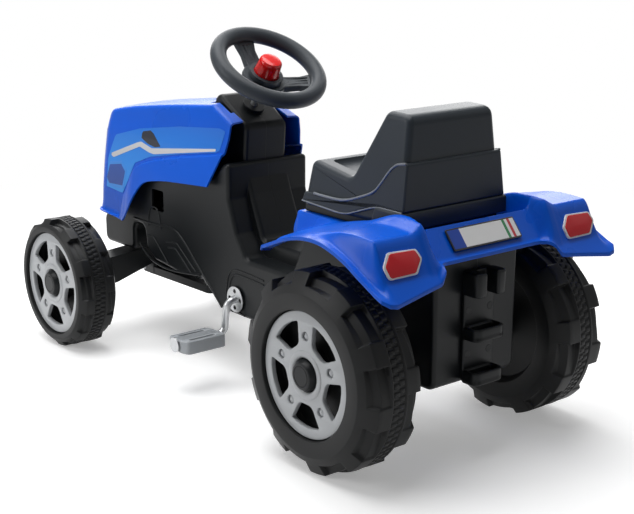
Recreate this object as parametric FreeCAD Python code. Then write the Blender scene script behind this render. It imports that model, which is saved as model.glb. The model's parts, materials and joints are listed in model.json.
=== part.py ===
import FreeCAD, Part
import math
import os

# A pedal tractor that a small child rides: moulded chassis halves, chain drive, steered front axle.
# Millimetres, +Z up. The tractor faces -Y and its left side is +X.
# The origin lies on the floor under the middle of the whole tractor.

# Wheels and where they stand
wheelbase = 702.0
outer_half_track = 230.0
rear_tyre_radius = 140.0
rear_tyre_width = 98.0
rear_sidewall_radius = 112.5
rear_shoulder = 12.0
front_tyre_radius = 112.0
front_tyre_width = 72.0
front_sidewall_radius = 99.0
front_shoulder = 7.0
tyre_wall = 3.5
tread_height = 3.5
tread_block_count = 10
tread_block_angle = 21.0
tread_band_width = 20.0
hub_radius = 26.0
inner_web_depth = 14.0
outer_web_depth = 28.0

# Wheel trims and caps
trim_radius = 88.0
trim_thickness = 5.0
trim_depth = 12.0
trim_lip = 1.5
trim_gap = 1.0
trim_arm_count = 5
window_outer_radius = 74.0
window_inner_radius = 43.0
window_outer_angle = 23.5
window_inner_angle = 18.0
bolt_circle_radius = 50.0
bolt_head_radius = 5.0
cap_radius = 23.0
cap_wall = 3.0
cap_stand_out = 2.0

# Rods, fits and small hardware
rod_radius = 6.0
running_fit = 0.08
clip_radius = 12.0
clip_thickness = 2.5
end_play = 0.3
pin_radius = 1.6
screw_radius = 2.5
screw_head_radius = 5.5
screw_head_height = 3.0
post_radius = 8.0
flange_radius = 15.0
flange_thickness = 3.0
bush_radius = 11.0
bush_length = 12.0

# Chain drive
chain_pitch = 8.0
chain_links = 102
sprocket_teeth = 13
sprocket_thickness = 3.0
tooth_relief = 0.6
roller_radius = 2.4
link_plate_thickness = 0.8
link_plate_height = 6.6
link_gap = 0.2
link_pin_radius = 1.2
inner_link_half_gap = 1.9
first_link_share = 0.25
chain_x = 20.0
sprocket_hub_radius = 12.0
sprocket_hub_length = 16.0

# Crank and pedals
crank_height = 136.0
crank_radius = 56.0
crank_rest_angle = 9.0
crank_bend = 13.0
crank_arm_x = 99.0
crank_plate_radius = 21.0
crank_plate_thickness = 1.5
pedal_length = 80.0
pedal_width = 60.0
pedal_thickness = 22.0
pedal_inner_x = 113.0
pedal_corner = 8.0

# Chassis halves
chassis_half_width = 80.0
chassis_wall = 4.0
chassis_bottom = 108.0
chassis_top = 314.0
chassis_rear = 94.0
chassis_edge = 7.0
saddle_height = 205.0
saddle_front = 26.0
saddle_back = 139.0
knee_rise = 37.0
dash_front = 19.0
dash_low_rise = 90.0
dash_height = 56.0
dash_depth = 14.0
cowl_run = 30.0
cowl_height = 325.0
nose_front = 38.0
block_front = 66.0
block_height = 46.0
block_step = 12.0
block_back = 38.0
block_notch_back = 70.0
block_notch_height = 52.0
skid_front = 77.0
skid_front_rise = 11.0
skid_start = 102.0
skid_middle = 182.0
skid_end = 242.0
skid_drop = 4.0
skid_belly = 12.0
skid_tail = 44.0
window_from_axle = 99.0
window_rise = 86.0
window_size = 37.0
kingpin_boss_radius = 17.0
kingpin_boss_height = 60.0

# Screw posts inside the chassis
post_length = 22.0
post_from_rear = 28.0
post_from_top = 40.0
post_from_front = 125.0
saddle_post_back = 80.0
saddle_post_drop = 24.0
bay_post_back = 262.0
bay_post_low_rise = 50.0
bay_post_high_rise = 98.0
nose_post_back = 2.0
nose_post_rise = 95.0
axle_post_back = 62.0
axle_post_rise = 86.0
deck_screw_x = 62.0
deck_screw_ahead = 140.0
deck_screw_behind = 66.0
seat_bolt_ahead = 60.0

# Steering column and the spine behind its foot
column_half_width = 42.0
column_front_length = 120.0
column_foot_front = 174.0
column_foot_rise = 95.0
column_back = 10.0
column_neck_front = 27.0
column_neck_rise = 141.0
spine_height = 229.0
spine_depth = 30.0
spine_front = 94.0
spine_top_front = 21.0
spine_top_back = 144.0
spine_back = 166.0
spine_back_rise = 45.0

# Steering
steering_foot_from_axle = 99.7
steering_foot_height = 140.0
steering_height = 499.0
steering_tilt = 32.8
rim_radius = 83.4
rim_tube_radius = 12.9
hub_top_drop = 22.0
wheel_hub_radius = 36.0
wheel_hub_height = 22.0
neck_radius = 14.0
spoke_width = 24.0
spoke_thickness = 13.0
column_drop = 80.0
column_reach_back = 44.0
column_reach_front = 46.0
collar_radius = 18.0
collar_height = 5.0
collar_body_radius = 12.0
collar_body_length = 26.0
lower_bush_lift = 47.0
steering_arm = 38.0
steering_pin_length = 32.0
steering_bend = 11.0

# Horn button
button_radius = 21.0
button_top_radius = 18.0
button_height = 33.0
button_flange = 2.2
button_travel = 5.0
button_gap = 0.3
horn_ring_wall = 4.0
horn_ring_height = 11.0
spring_radius = 7.0
spring_wire_radius = 0.8
spring_turns = 6
spring_pocket_depth = 10.0

# Front axle
beam_half_depth = 22.0
beam_bottom = 97.0
beam_top = 150.0
beam_arch = 25.0
beam_end_gap = 6.0
beam_block_half_width = 30.0
kingpin_radius = 8.0
kingpin_head_radius = 14.0
kingpin_head_height = 6.0
thrust_washer_radius = 22.0
thrust_washer_thickness = 4.0
tongue_margin = 45.0
tongue_thickness = 14.0
tongue_half_width = 24.0
tongue_slot_play = 3.0

# Bonnet
bonnet_skin = 3.0
bonnet_half_width = 96.0
bonnet_side_height = 300.0
bonnet_crease = 364.0
bonnet_crease_half_width = 80.0
bonnet_shoulder = 438.0
bonnet_top_half_width = 66.0
bonnet_shoulder_width = 14.0
bonnet_front_half_width = 72.0
bonnet_front_taper = 46.0
bonnet_corner = 26.0
bonnet_notch_gap = 4.0
bonnet_notch_front_gap = 7.0
bonnet_low = 218.0
bonnet_nose = 82.0
bonnet_brow_height = 340.0
bonnet_brow_back = 8.0
bonnet_top_front_height = 388.0
bonnet_top_front_back = 18.0
bonnet_bend_ahead = 38.0
bonnet_bend_height = 404.0
bonnet_middle_from_axle = 155.0
bonnet_middle_height = 431.0
bonnet_top_end_from_axle = 262.0
bonnet_top_end_height = 441.0
bonnet_flap_from_axle = 321.0
bonnet_flap_height = 415.0
bonnet_tail_from_axle = 312.0
bonnet_sill_from_axle = 287.0
bonnet_sill_height = 312.0
bonnet_arch_from_axle = 114.0
bonnet_arch_height = 293.0
bonnet_arch_front = 38.0
hinge_pin_radius = 4.0
hinge_eye_radius = 7.5
hinge_eye_width = 8.0
hinge_eye_x = 45.0
hinge_from_axle = 70.0
hinge_height = 228.0
trim_plate_thickness = 2.0
grille_half_width = 27.0
grille_low = 236.0
grille_high = 324.0
grille_bar = 6.0
grille_slot = 5.0
grille_border = 4.0
headlamp_width = 30.0
headlamp_low = 284.0
headlamp_high = 322.0
catch_length = 22.0
catch_width = 30.0

# Deck with mudguards
deck_skin = 3.0
deck_half_width = 108.0
deck_front = 183.0
deck_front_lean = 11.0
deck_skirt = 35.0
fender_half_width = 222.0
fender_overhang = 157.0
ridge_front = 80.0
ridge_height = 23.0
ridge_top_width = 6.0
ridge_slope_run = 34.0
ridge_slope_drop = 43.0
fender_inner_line = [(-128.0, -20.0), (-70.0, 5.0), (0.0, 20.0), (62.0, 26.0), (104.0, 21.0), (132.0, -11.0),
                     (150.0, -33.0)]
fender_outer_line = [(-107.0, -24.0), (-67.0, -9.0), (-13.0, 4.0), (28.0, 4.0), (78.0, -9.0), (116.0, -33.0),
                     (135.0, -42.0), (fender_overhang, -45.0)]
pod_inner_x = 126.0
pod_outer_x = 212.0
pod_front = 40.0
pod_front_drop = 20.0
pod_top_front = 62.0
pod_slope_from_axle = 102.0
pod_slope_run = 38.0
pod_slope_drop = 50.0
pod_lip_run = 6.0
pod_lip_drop = 11.0
lamp_centre_x = 168.5
lamp_along_slope = 0.57
lamp_outline = [(30.0, -26.0), (-32.0, -20.0), (-35.0, 4.0), (-24.0, 22.0), (28.0, 16.0), (36.0, -1.0)]
plate_width = 130.0
plate_height = 30.0
plate_thickness = 1.5

# Seat
seat_side_line = [(-166.0, 0.0), (-154.0, 59.0), (-140.0, 62.0), (-64.0, 47.0), (-46.0, 58.0), (4.0, 142.0),
                  (14.0, 147.0), (38.0, 144.0), (37.0, 80.0), (44.0, 14.0), (46.0, 0.0)]
dish_side_line = [(-138.0, 70.0), (-133.0, 52.0), (-68.0, 36.0), (-46.0, 46.0), (2.0, 127.0), (-6.0, 160.0),
                  (-138.0, 160.0)]
seat_half_width = 97.0
seat_top_half_width = 79.0
seat_flange_height = 14.0
seat_lean_height = 150.0
seat_skin = 4.0
seat_lift = 15.0
seat_base_inset = 13.0
seat_dish_half_width = 64.0
seat_travel = 30.0
seat_bolt_radius = 4.0
seat_bolt_x = 40.0
seat_washer_radius = 10.0
seat_washer_thickness = 3.0

# Tow hitch
hitch_half_width = 29.0
hitch_plate_thickness = 6.0
hitch_reach = 24.0
hitch_lift = 4.0
hitch_shelf_thickness = 18.0
hitch_throat = 44.0
hitch_block_height = 34.0
hitch_bore_radius = 7.0
hitch_corner = 14.0

# Places worked out from the sizes above
rear_axle_y = (wheelbase + front_tyre_radius - fender_overhang) / 2
front_axle_y = rear_axle_y - wheelbase
rear_axle_z = rear_tyre_radius
front_axle_z = front_tyre_radius
drive_centres = chain_pitch * (chain_links - sprocket_teeth) / 2
crank_y = rear_axle_y - math.sqrt(drive_centres ** 2 - (rear_axle_z - crank_height) ** 2)
steering_lean = math.radians(steering_tilt)
steering_rod_drop = (steering_height - steering_foot_height) / math.cos(steering_lean)
lower_bush_drop = steering_rod_drop - lower_bush_lift
steering_y = front_axle_y + steering_foot_from_axle + steering_rod_drop * math.sin(steering_lean)
block_bottom = beam_top + thrust_washer_thickness
deck_top = chassis_top + deck_skin
deck_bottom = deck_top - deck_skirt
seat_bottom = deck_top + seat_lift
half_turn = 180.0
full_turn = 360.0


def vec(x, y, z):
    return FreeCAD.Vector(x, y, z)


along_x = vec(1, 0, 0)
along_y = vec(0, 1, 0)
along_z = vec(0, 0, 1)
origin = vec(0, 0, 0)


# Building blocks

def corner_arc(before, corner, after, radius):
    """Start, middle and end of the arc that rounds one corner of a path."""
    back = (before - corner).normalize()
    ahead = (after - corner).normalize()
    half_angle = back.getAngle(ahead) / 2
    longest_setback = 0.45 * min((before - corner).Length, (after - corner).Length)
    setback = min(radius / math.tan(half_angle), longest_setback)
    fitted = setback * math.tan(half_angle)
    bisector = (back + ahead).normalize()
    centre = corner + bisector * (fitted / math.sin(half_angle))
    return corner + back * setback, centre - bisector * fitted, corner + ahead * setback


def rounded_wire(points, radius):
    """Closed wire through the points, with every corner rounded."""
    count = len(points)
    arcs = [corner_arc(points[i - 1], points[i], points[(i + 1) % count], radius) for i in range(count)]
    edges = []
    for i, (start, middle, end) in enumerate(arcs):
        edges.append(Part.Arc(start, middle, end).toShape())
        edges.append(Part.makeLine(end, arcs[(i + 1) % count][0]))
    return Part.Wire(edges)


def prism_x(outline, radius, start, end):
    """Solid of a side-view outline of (y, z) points between two places along X."""
    face = Part.Face(rounded_wire([vec(start, y, z) for y, z in outline], radius))
    return face.extrude(along_x * (end - start))


def prism_y(outline, radius, start, end):
    """Solid of a front-view outline of (x, z) points between two places along Y."""
    face = Part.Face(rounded_wire([vec(x, start, z) for x, z in outline], radius))
    return face.extrude(along_y * (end - start))


def prism_z(outline, radius, start, end):
    """Solid of a plan-view outline of (x, y) points between two heights."""
    face = Part.Face(rounded_wire([vec(x, y, start) for x, y in outline], radius))
    return face.extrude(along_z * (end - start))


def inset(outline, distance):
    """The outline moved inward by one distance on every side."""
    count = len(outline)
    pairs = [(outline[i], outline[(i + 1) % count]) for i in range(count)]
    area = sum(a[0] * b[1] - b[0] * a[1] for a, b in pairs)
    turn = math.copysign(1, area)
    moved = []
    for i in range(count):
        corner = vec(outline[i][0], outline[i][1], 0)
        into = (corner - vec(outline[i - 1][0], outline[i - 1][1], 0)).normalize()
        onward = (vec(outline[(i + 1) % count][0], outline[(i + 1) % count][1], 0) - corner).normalize()
        normal_in = along_z.cross(into) * turn
        normal_on = along_z.cross(onward) * turn
        corner = corner + (normal_in + normal_on) * (distance / (1 + normal_in.dot(normal_on)))
        moved.append((corner.x, corner.y))
    return moved


def box(x_range, y_range, z_range):
    sizes = [high - low for low, high in (x_range, y_range, z_range)]
    return Part.makeBox(*sizes, vec(x_range[0], y_range[0], z_range[0]))


def rod_x(start, end, y, z, radius):
    return Part.makeCylinder(radius, end - start, vec(start, y, z), along_x)


def rod_z(x, y, start, end, radius):
    return Part.makeCylinder(radius, end - start, vec(x, y, start), along_z)


def turned(outline, radius):
    """Solid turned about the X axis from an outline of (x, distance from axis) points."""
    face = Part.Face(rounded_wire([vec(x, 0, r) for x, r in outline], radius))
    return face.revolve(origin, along_x, full_turn)


def bent_rod(points, bend, radius):
    """Round rod along a path of straight runs and bends."""
    arcs = [corner_arc(points[i - 1], points[i], points[i + 1], bend) for i in range(1, len(points) - 1)]
    edges = []
    place = points[0]
    for start, middle, end in arcs:
        edges.append(Part.makeLine(place, start))
        edges.append(Part.Arc(start, middle, end).toShape())
        place = end
    edges.append(Part.makeLine(place, points[-1]))
    section = Part.Wire(Part.makeCircle(radius, points[0], points[1] - points[0]))
    return Part.Wire(edges).makePipeShell([section], True, True)


def edges_at_x(solid, x):
    return [edge for edge in solid.Edges if all(abs(v.X - x) < 1e-4 for v in edge.Vertexes)]


def mirrored(shape):
    return shape.mirror(origin, along_x)


def both_sides(shape):
    return Part.makeCompound([shape, mirrored(shape)])


def moved(shape, x, y, z):
    copy = shape.copy()
    copy.translate(vec(x, y, z))
    return copy


def spun(shape, angle):
    """Copy of a shape turned about the X axis through the origin."""
    copy = shape.copy()
    copy.rotate(origin, along_x, angle)
    return copy


steering_place = FreeCAD.Placement(
    vec(0, steering_y, steering_height), FreeCAD.Rotation(along_x, -steering_tilt))


def on_steering(shape):
    """Copy of a shape moved from the steering wheel's own frame, whose Z is the column's axis."""
    copy = shape.copy()
    copy.transformShape(steering_place.toMatrix())
    return copy


def steering_point(back, up):
    """Side-view (y, z) of a point behind and above the steering wheel's centre, in its own frame."""
    point = steering_place.multVec(vec(0, back, up))
    return point.y, point.z


# Wheels: one hollow blow-moulded tyre and hub, a grey trim and a black cap each

def wheel_outline(radius, width, sidewall_radius, shoulder):
    """Half section of a wheel, from its inner face at x = 0 to its outer face."""
    tread = radius - tread_height
    seat = width - trim_depth
    web = width - outer_web_depth
    bead = trim_radius + trim_gap
    bore = rod_radius + running_fit
    return [
        (width, bead), (width, sidewall_radius), (width - shoulder, tread), (shoulder, tread),
        (0, sidewall_radius), (0, bead), (inner_web_depth, bead - tyre_wall * 2),
        (inner_web_depth, hub_radius + tyre_wall), (0, hub_radius), (0, bore), (seat, bore),
        (seat, hub_radius + tyre_wall), (web, hub_radius + tyre_wall * 2),
        (web, bead - tyre_wall * 3), (seat, bead - tyre_wall * 2), (seat, bead)]


def tread_blocks(radius, width, shoulder):
    """Raised blocks round both shoulders and a low band between them."""
    root = radius - tread_height * 2
    reach = (width - tread_band_width) / 2 - shoulder / 2
    side = [(shoulder / 2, root), (shoulder / 2 + reach, root),
            (shoulder / 2 + reach, radius), (shoulder, radius)]
    face = Part.Face(rounded_wire([vec(x, 0, r) for x, r in side], tread_height / 4))
    block = face.revolve(origin, along_x, tread_block_angle)
    across = block.mirror(vec(width / 2, 0, 0), along_x)
    step = full_turn / tread_block_count
    blocks = []
    for i in range(tread_block_count):
        blocks.append(spun(block, i * step))
        blocks.append(spun(across, (i + 0.5) * step))
    band_edge = (width - tread_band_width) / 2
    band = [(band_edge, root), (width - band_edge, root),
            (width - band_edge, radius - tread_height / 2), (band_edge, radius - tread_height / 2)]
    blocks.append(turned(band, tread_height / 4))
    return blocks


def wheel(radius, width, sidewall_radius, shoulder):
    outline = wheel_outline(radius, width, sidewall_radius, shoulder)
    shell = turned(outline, tyre_wall / 2)
    shell = shell.multiFuse(tread_blocks(radius, width, shoulder))
    return shell.cut(turned(inset(outline, tyre_wall), tyre_wall / 4))


def trim_window(width):
    """One trim opening, pointing straight down."""
    outer_half = math.radians(window_outer_angle)
    inner_half = math.radians(window_inner_angle)
    corners = [(window_outer_radius, -outer_half), (window_outer_radius / math.cos(outer_half), 0),
               (window_outer_radius, outer_half), (window_inner_radius, inner_half),
               (window_inner_radius, -inner_half)]
    outline = [(r * math.sin(a), -r * math.cos(a)) for r, a in corners]
    return prism_x(outline, bolt_head_radius, 0, width)


def trim(width):
    """Five-armed trim disc with a raised edge and moulded bolt heads between its openings."""
    seat = width - trim_depth
    face = seat + trim_thickness
    lip = face + trim_lip
    hole = cap_radius + trim_gap
    outline = [(seat, trim_radius), (lip, trim_radius), (lip, trim_radius - trim_thickness),
               (face, trim_radius - trim_thickness * 2), (face, hole + trim_thickness * 2),
               (lip, hole + trim_thickness), (lip, hole), (seat, hole)]
    disc = turned(outline, trim_lip / 2)
    step = full_turn / trim_arm_count
    windows = [spun(trim_window(width), i * step) for i in range(trim_arm_count)]
    head = rod_x(seat, lip + trim_lip, 0, bolt_circle_radius, bolt_head_radius)
    heads = [spun(head, i * step) for i in range(trim_arm_count)]
    return disc.cut(Part.makeCompound(windows)).multiFuse(heads)


def cap(width):
    """Hollow cap over the rod's end, seated on the hub inside the trim."""
    seat = width - trim_depth
    outside = width + cap_stand_out
    shell = Part.makeCone(cap_radius, cap_radius - cap_wall / 2, outside - seat, vec(seat, 0, 0), along_x)
    shell = shell.makeFillet(cap_wall / 2, edges_at_x(shell, outside))
    hollow = rod_x(seat, outside - cap_wall, 0, 0, cap_radius - cap_wall * 2)
    return shell.cut(hollow)


def axle_clips(y, z):
    """The two push-on clips that keep a pair of wheels on their rod."""
    face = outer_half_track - trim_depth + end_play
    clip = rod_x(face, face + clip_thickness, y, z, clip_radius)
    return both_sides(clip.cut(rod_x(0, outer_half_track, y, z, rod_radius)))


rear_inner_face = outer_half_track - rear_tyre_width
front_inner_face = outer_half_track - front_tyre_width
rod_end = outer_half_track - cap_wall * 2
rear_axle_rod = rod_x(-rod_end, rod_end, rear_axle_y, rear_axle_z, rod_radius)

rear_wheel = wheel(rear_tyre_radius, rear_tyre_width, rear_sidewall_radius, rear_shoulder)
front_wheel = wheel(front_tyre_radius, front_tyre_width, front_sidewall_radius, front_shoulder)
rear_set = [moved(shape, rear_inner_face, rear_axle_y, rear_axle_z)
            for shape in (rear_wheel, trim(rear_tyre_width), cap(rear_tyre_width))]
front_set = [moved(shape, front_inner_face, front_axle_y, front_axle_z)
             for shape in (front_wheel, trim(front_tyre_width), cap(front_tyre_width))]

# The left rear wheel is driven: a cross pin in the rod sits in a slot of its hub
drive_pin_radius = pin_radius * 1.5
drive_pin_x = rear_inner_face + drive_pin_radius + end_play
drive_pin_reach = hub_radius - tyre_wall
drive_pin = rod_z(drive_pin_x, rear_axle_y, rear_axle_z - drive_pin_reach,
                  rear_axle_z + drive_pin_reach, drive_pin_radius)
drive_slot = box((rear_inner_face - end_play, drive_pin_x + drive_pin_radius),
                 (rear_axle_y - drive_pin_radius, rear_axle_y + drive_pin_radius),
                 (rear_axle_z - drive_pin_reach, rear_axle_z + drive_pin_reach))
driven_wheel = rear_set[0].cut(drive_slot)
rear_axle_rod = rear_axle_rod.cut(drive_pin)

# Tubes on the rear rod keep the wheels off the chassis
rear_flange_face = chassis_half_width + flange_thickness
rear_spacer = rod_x(rear_flange_face + end_play, rear_inner_face - end_play, rear_axle_y, rear_axle_z,
                    bush_radius)
rear_spacers = both_sides(rear_spacer.cut(
    rod_x(0, outer_half_track, rear_axle_y, rear_axle_z, rod_radius + running_fit)))


# Chain drive: two equal sprockets, so each run is straight and each half turn holds half the teeth

def bush_x(y, z):
    """Flanged plastic bush for a rod along X, pressed into the left side wall from outside."""
    body = rod_x(chassis_half_width - bush_length, chassis_half_width, y, z, bush_radius)
    flange = rod_x(chassis_half_width, rear_flange_face, y, z, flange_radius)
    bore = rod_x(0, outer_half_track, y, z, rod_radius + running_fit)
    return body.fuse(flange).cut(bore)


tooth_angle = full_turn / sprocket_teeth
pitch_radius = chain_pitch / (2 * math.sin(math.pi / sprocket_teeth))
drive_angle = math.degrees(math.atan2(rear_axle_z - crank_height, rear_axle_y - crank_y))


def around(y, z, radius, angle):
    """Side-view point at an angle round a centre, measured from +Y towards +Z."""
    turn = math.radians(angle)
    return vec(chain_x, y + radius * math.cos(turn), z + radius * math.sin(turn))


def sprocket(y, z, start_angle):
    """Toothed disc with a hub, whose gaps hold the chain's rollers."""
    half = sprocket_thickness / 2
    disc = rod_x(chain_x - half, chain_x + half, y, z, pitch_radius + roller_radius / 2)
    gaps = []
    for i in range(sprocket_teeth):
        angle = start_angle + (i + first_link_share) * tooth_angle
        for rise, play in ((0, running_fit), (roller_radius / 2, tooth_relief)):
            centre = around(y, z, pitch_radius + rise, angle)
            gaps.append(rod_x(chain_x - half, chain_x + half, centre.y, centre.z, roller_radius + play))
    disc = disc.cut(Part.makeCompound(gaps))
    hub = rod_x(chain_x + half, chain_x + half + sprocket_hub_length, y, z, sprocket_hub_radius)
    return disc.fuse(hub).cut(rod_x(-chain_x, outer_half_track, y, z, rod_radius))


pin_x = chain_x + sprocket_thickness / 2 + sprocket_hub_length / 2
crank_sprocket_pin = rod_z(pin_x, crank_y, crank_height - sprocket_hub_radius,
                           crank_height + sprocket_hub_radius, pin_radius)
rear_sprocket_pin = rod_z(pin_x, rear_axle_y, rear_axle_z - sprocket_hub_radius,
                          rear_axle_z + sprocket_hub_radius, pin_radius)
crank_sprocket = sprocket(crank_y, crank_height, drive_angle + half_turn / 2).cut(crank_sprocket_pin)
rear_sprocket = sprocket(rear_axle_y, rear_axle_z, drive_angle - half_turn / 2).cut(rear_sprocket_pin)
rear_axle_rod = rear_axle_rod.cut(rear_sprocket_pin)


def chain_point(count):
    """Place of a roller, counted in links from the top of the crank sprocket, forward and down first."""
    arc = sprocket_teeth / 2
    run = (chain_links - sprocket_teeth) / 2
    top = drive_angle + half_turn / 2
    bottom = top + half_turn
    ahead = vec(0, math.cos(math.radians(drive_angle)), math.sin(math.radians(drive_angle)))
    count = count % chain_links
    if count < arc:
        return around(crank_y, crank_height, pitch_radius, top + count * tooth_angle)
    count -= arc
    if count < run:
        return around(crank_y, crank_height, pitch_radius, bottom) + ahead * (count * chain_pitch)
    count -= run
    if count < arc:
        return around(rear_axle_y, rear_axle_z, pitch_radius, bottom + count * tooth_angle)
    count -= arc
    return around(rear_axle_y, rear_axle_z, pitch_radius, top) - ahead * (count * chain_pitch)


def link_plate(inside):
    """One link plate along Y, from a distance off the chain's middle plane."""
    half = link_plate_height / 2
    ends = [rod_x(inside, inside + link_plate_thickness, y, 0, half) for y in (0, chain_pitch)]
    bar = box((inside, inside + link_plate_thickness), (0, chain_pitch), (-half, half))
    return ends[0].fuse(ends[1]).fuse(bar)


def chain_link(outer):
    """An inner link with its two rollers, or an outer link with its two pins."""
    inner_outside = inner_link_half_gap + link_plate_thickness
    inside = inner_outside + link_gap if outer else inner_link_half_gap
    reach = inside + link_plate_thickness
    radius = link_pin_radius if outer else roller_radius
    plates = both_sides(link_plate(inside)).Solids
    bars = [rod_x(-reach, reach, y, 0, radius) for y in (0, chain_pitch)]
    link = plates[0].multiFuse(plates[1:] + bars)
    if outer:
        return link
    bores = [rod_x(-reach, reach, y, 0, link_pin_radius + running_fit) for y in (0, chain_pitch)]
    return link.cut(Part.makeCompound(bores))


def chain():
    kinds = [chain_link(False), chain_link(True)]
    links = []
    for i in range(chain_links):
        start = chain_point(i + first_link_share)
        step = chain_point(i + 1 + first_link_share) - start
        link = spun(kinds[i % 2], math.degrees(math.atan2(step.z, step.y)))
        links.append(moved(link, start.x, start.y, start.z))
    return Part.makeCompound(links)


# Crank: one bent rod with both arms, so the pedals sit half a turn apart
rest = math.radians(crank_rest_angle)
arm_y = -crank_radius * math.sin(rest)
arm_z = -crank_radius * math.cos(rest)
pedal_outer_x = pedal_inner_x + pedal_length
crank_end = pedal_outer_x + end_play + clip_thickness


def crank_side(side, reach):
    """Path point on the left (1) or right (-1) pedal's axis or, with no arm, on the crank's axis."""
    return vec(side * reach, crank_y + side * arm_y, crank_height + side * arm_z)


crank_path = [crank_side(-1, crank_end), crank_side(-1, crank_arm_x),
              vec(-crank_arm_x, crank_y, crank_height), vec(crank_arm_x, crank_y, crank_height),
              crank_side(1, crank_arm_x), crank_side(1, crank_end)]
crank = bent_rod(crank_path, crank_bend, rod_radius).cut(crank_sprocket_pin)


def pedal_clip(side):
    centre = crank_side(side, 0)
    clip = rod_x(pedal_outer_x + end_play, crank_end, centre.y, centre.z, clip_radius)
    clip = clip if side > 0 else mirrored(clip)
    return clip.cut(rod_x(-crank_end, crank_end, centre.y, centre.z, rod_radius))


def pedal(side):
    """Flat ribbed pedal block on its crank end, level at rest."""
    centre = crank_side(side, 0)
    low = centre.z - pedal_thickness / 2
    half = pedal_width / 2
    outline = [(pedal_inner_x, centre.y - half), (pedal_outer_x, centre.y - half),
               (pedal_outer_x, centre.y + half), (pedal_inner_x, centre.y + half)]
    block = prism_z(outline, pedal_corner, low, low + pedal_thickness)
    groove_depth = pedal_thickness / 8
    grooves = []
    for i in range(3):
        y = centre.y + (i - 1) * half / 2
        grooves.append(box((pedal_inner_x + pedal_corner, pedal_outer_x - pedal_corner),
                           (y - groove_depth, y + groove_depth),
                           (low + pedal_thickness - groove_depth, low + pedal_thickness)))
    block = block.cut(Part.makeCompound(grooves))
    block = block if side > 0 else mirrored(block)
    return block.cut(rod_x(-crank_end, crank_end, centre.y, centre.z, rod_radius + running_fit))


crank_plate = rod_x(rear_flange_face, rear_flange_face + crank_plate_thickness, crank_y, crank_height,
                    crank_plate_radius)
crank_plate = crank_plate.cut(rod_x(0, outer_half_track, crank_y, crank_height, rod_radius + running_fit))
plate_slot_radius = (crank_plate_radius + rod_radius) / 2
plate_slot = rod_x(0, outer_half_track, 0, plate_slot_radius, (crank_plate_radius - rod_radius) / 4)
for slot_angle in (0, half_turn / 2, half_turn, half_turn * 1.5):
    crank_plate = crank_plate.cut(moved(spun(plate_slot, slot_angle), 0, crank_y, crank_height))


# Steering: a bent rod from the wheel to a slotted tongue behind the front axle

def column_rod(radius, top, bottom):
    """Cylinder on the steering axis between two distances below the steering wheel's centre."""
    return Part.makeCylinder(radius, bottom - top, vec(0, 0, -bottom), along_z)


hub_bottom = hub_top_drop + wheel_hub_height
rod_top = hub_top_drop + wheel_hub_height / 2
collar_top = column_drop - collar_height
steering_rod_path = [vec(0, 0, -rod_top), vec(0, 0, -steering_rod_drop),
                     vec(0, steering_arm, -steering_rod_drop),
                     vec(0, steering_arm, -steering_rod_drop - steering_pin_length)]
steering_pin_drop = (rod_top + hub_bottom) / 2
steering_cross_pin = Part.makeCylinder(
    pin_radius, wheel_hub_radius * 2, vec(-wheel_hub_radius, 0, -steering_pin_drop), along_x)
steering_rod = bent_rod(steering_rod_path, steering_bend, rod_radius).cut(steering_cross_pin)


def spoke(angle):
    """Arm from the hub up to the rim."""
    low = hub_bottom - spoke_thickness / 2
    outline = [(wheel_hub_radius / 2, -low), (wheel_hub_radius / 2, -low + spoke_thickness),
               (rim_radius - rim_tube_radius / 2, spoke_thickness / 3),
               (rim_radius - rim_tube_radius / 2, -spoke_thickness * 2 / 3)]
    points = [vec(-spoke_width / 2, -reach, up) for reach, up in outline]
    arm = Part.Face(rounded_wire(points, spoke_thickness / 4)).extrude(along_x * spoke_width)
    arm.rotate(origin, along_z, angle)
    return arm


horn_floor = hub_top_drop
button_bottom = horn_floor - button_travel - end_play
button_hole = button_radius + button_gap
cup_radius = button_radius + button_flange + button_gap
spring_pocket_radius = spring_radius + spring_wire_radius + end_play


def steering_wheel():
    rim = Part.makeTorus(rim_radius, rim_tube_radius)
    hub = column_rod(wheel_hub_radius, hub_top_drop, hub_bottom)
    neck = column_rod(neck_radius, hub_bottom - end_play, collar_top - end_play)
    spokes = [spoke(angle) for angle in (0, full_turn / 3, -full_turn / 3)]
    whole = rim.multiFuse([hub, neck] + spokes)
    whole = whole.cut(column_rod(wheel_hub_radius, 0, hub_top_drop))
    whole = whole.cut(column_rod(spring_pocket_radius, hub_top_drop, hub_top_drop + spring_pocket_depth))
    whole = whole.cut(column_rod(rod_radius, rod_top, steering_rod_drop))
    return whole.cut(steering_cross_pin)


def horn_ring():
    """Ring screwed on the hub, whose lip keeps the button in."""
    top = horn_floor - horn_ring_height
    ring = column_rod(cup_radius + horn_ring_wall, top, horn_floor)
    lip_bottom = button_bottom - button_flange - end_play
    ring = ring.cut(column_rod(cup_radius, lip_bottom, horn_floor))
    return ring.cut(column_rod(button_hole, top, horn_floor))


def horn_button():
    height = button_height
    body = Part.makeCone(button_radius, button_top_radius, height, vec(0, 0, -button_bottom), along_z)
    top_edges = [e for e in body.Edges if all(abs(v.Z - height + button_bottom) < 1e-4 for v in e.Vertexes)]
    body = body.makeFillet(button_flange, top_edges)
    body = body.fuse(column_rod(button_radius + button_flange, button_bottom - button_flange, button_bottom))
    return body.cut(column_rod(spring_pocket_radius, button_bottom - height / 2, button_bottom))


def horn_spring():
    """Coil between the hub's pocket and the top of the button's own pocket."""
    bottom = hub_top_drop + spring_pocket_depth - spring_wire_radius
    top = button_bottom - button_height / 2 + spring_wire_radius
    pitch = (bottom - top) / spring_turns
    path = Part.Wire(Part.makeHelix(pitch, bottom - top, spring_radius))
    section = Part.Wire(Part.makeCircle(spring_wire_radius, vec(spring_radius, 0, 0), along_y))
    return moved(path.makePipeShell([section], True, True), 0, 0, -bottom)


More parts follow.
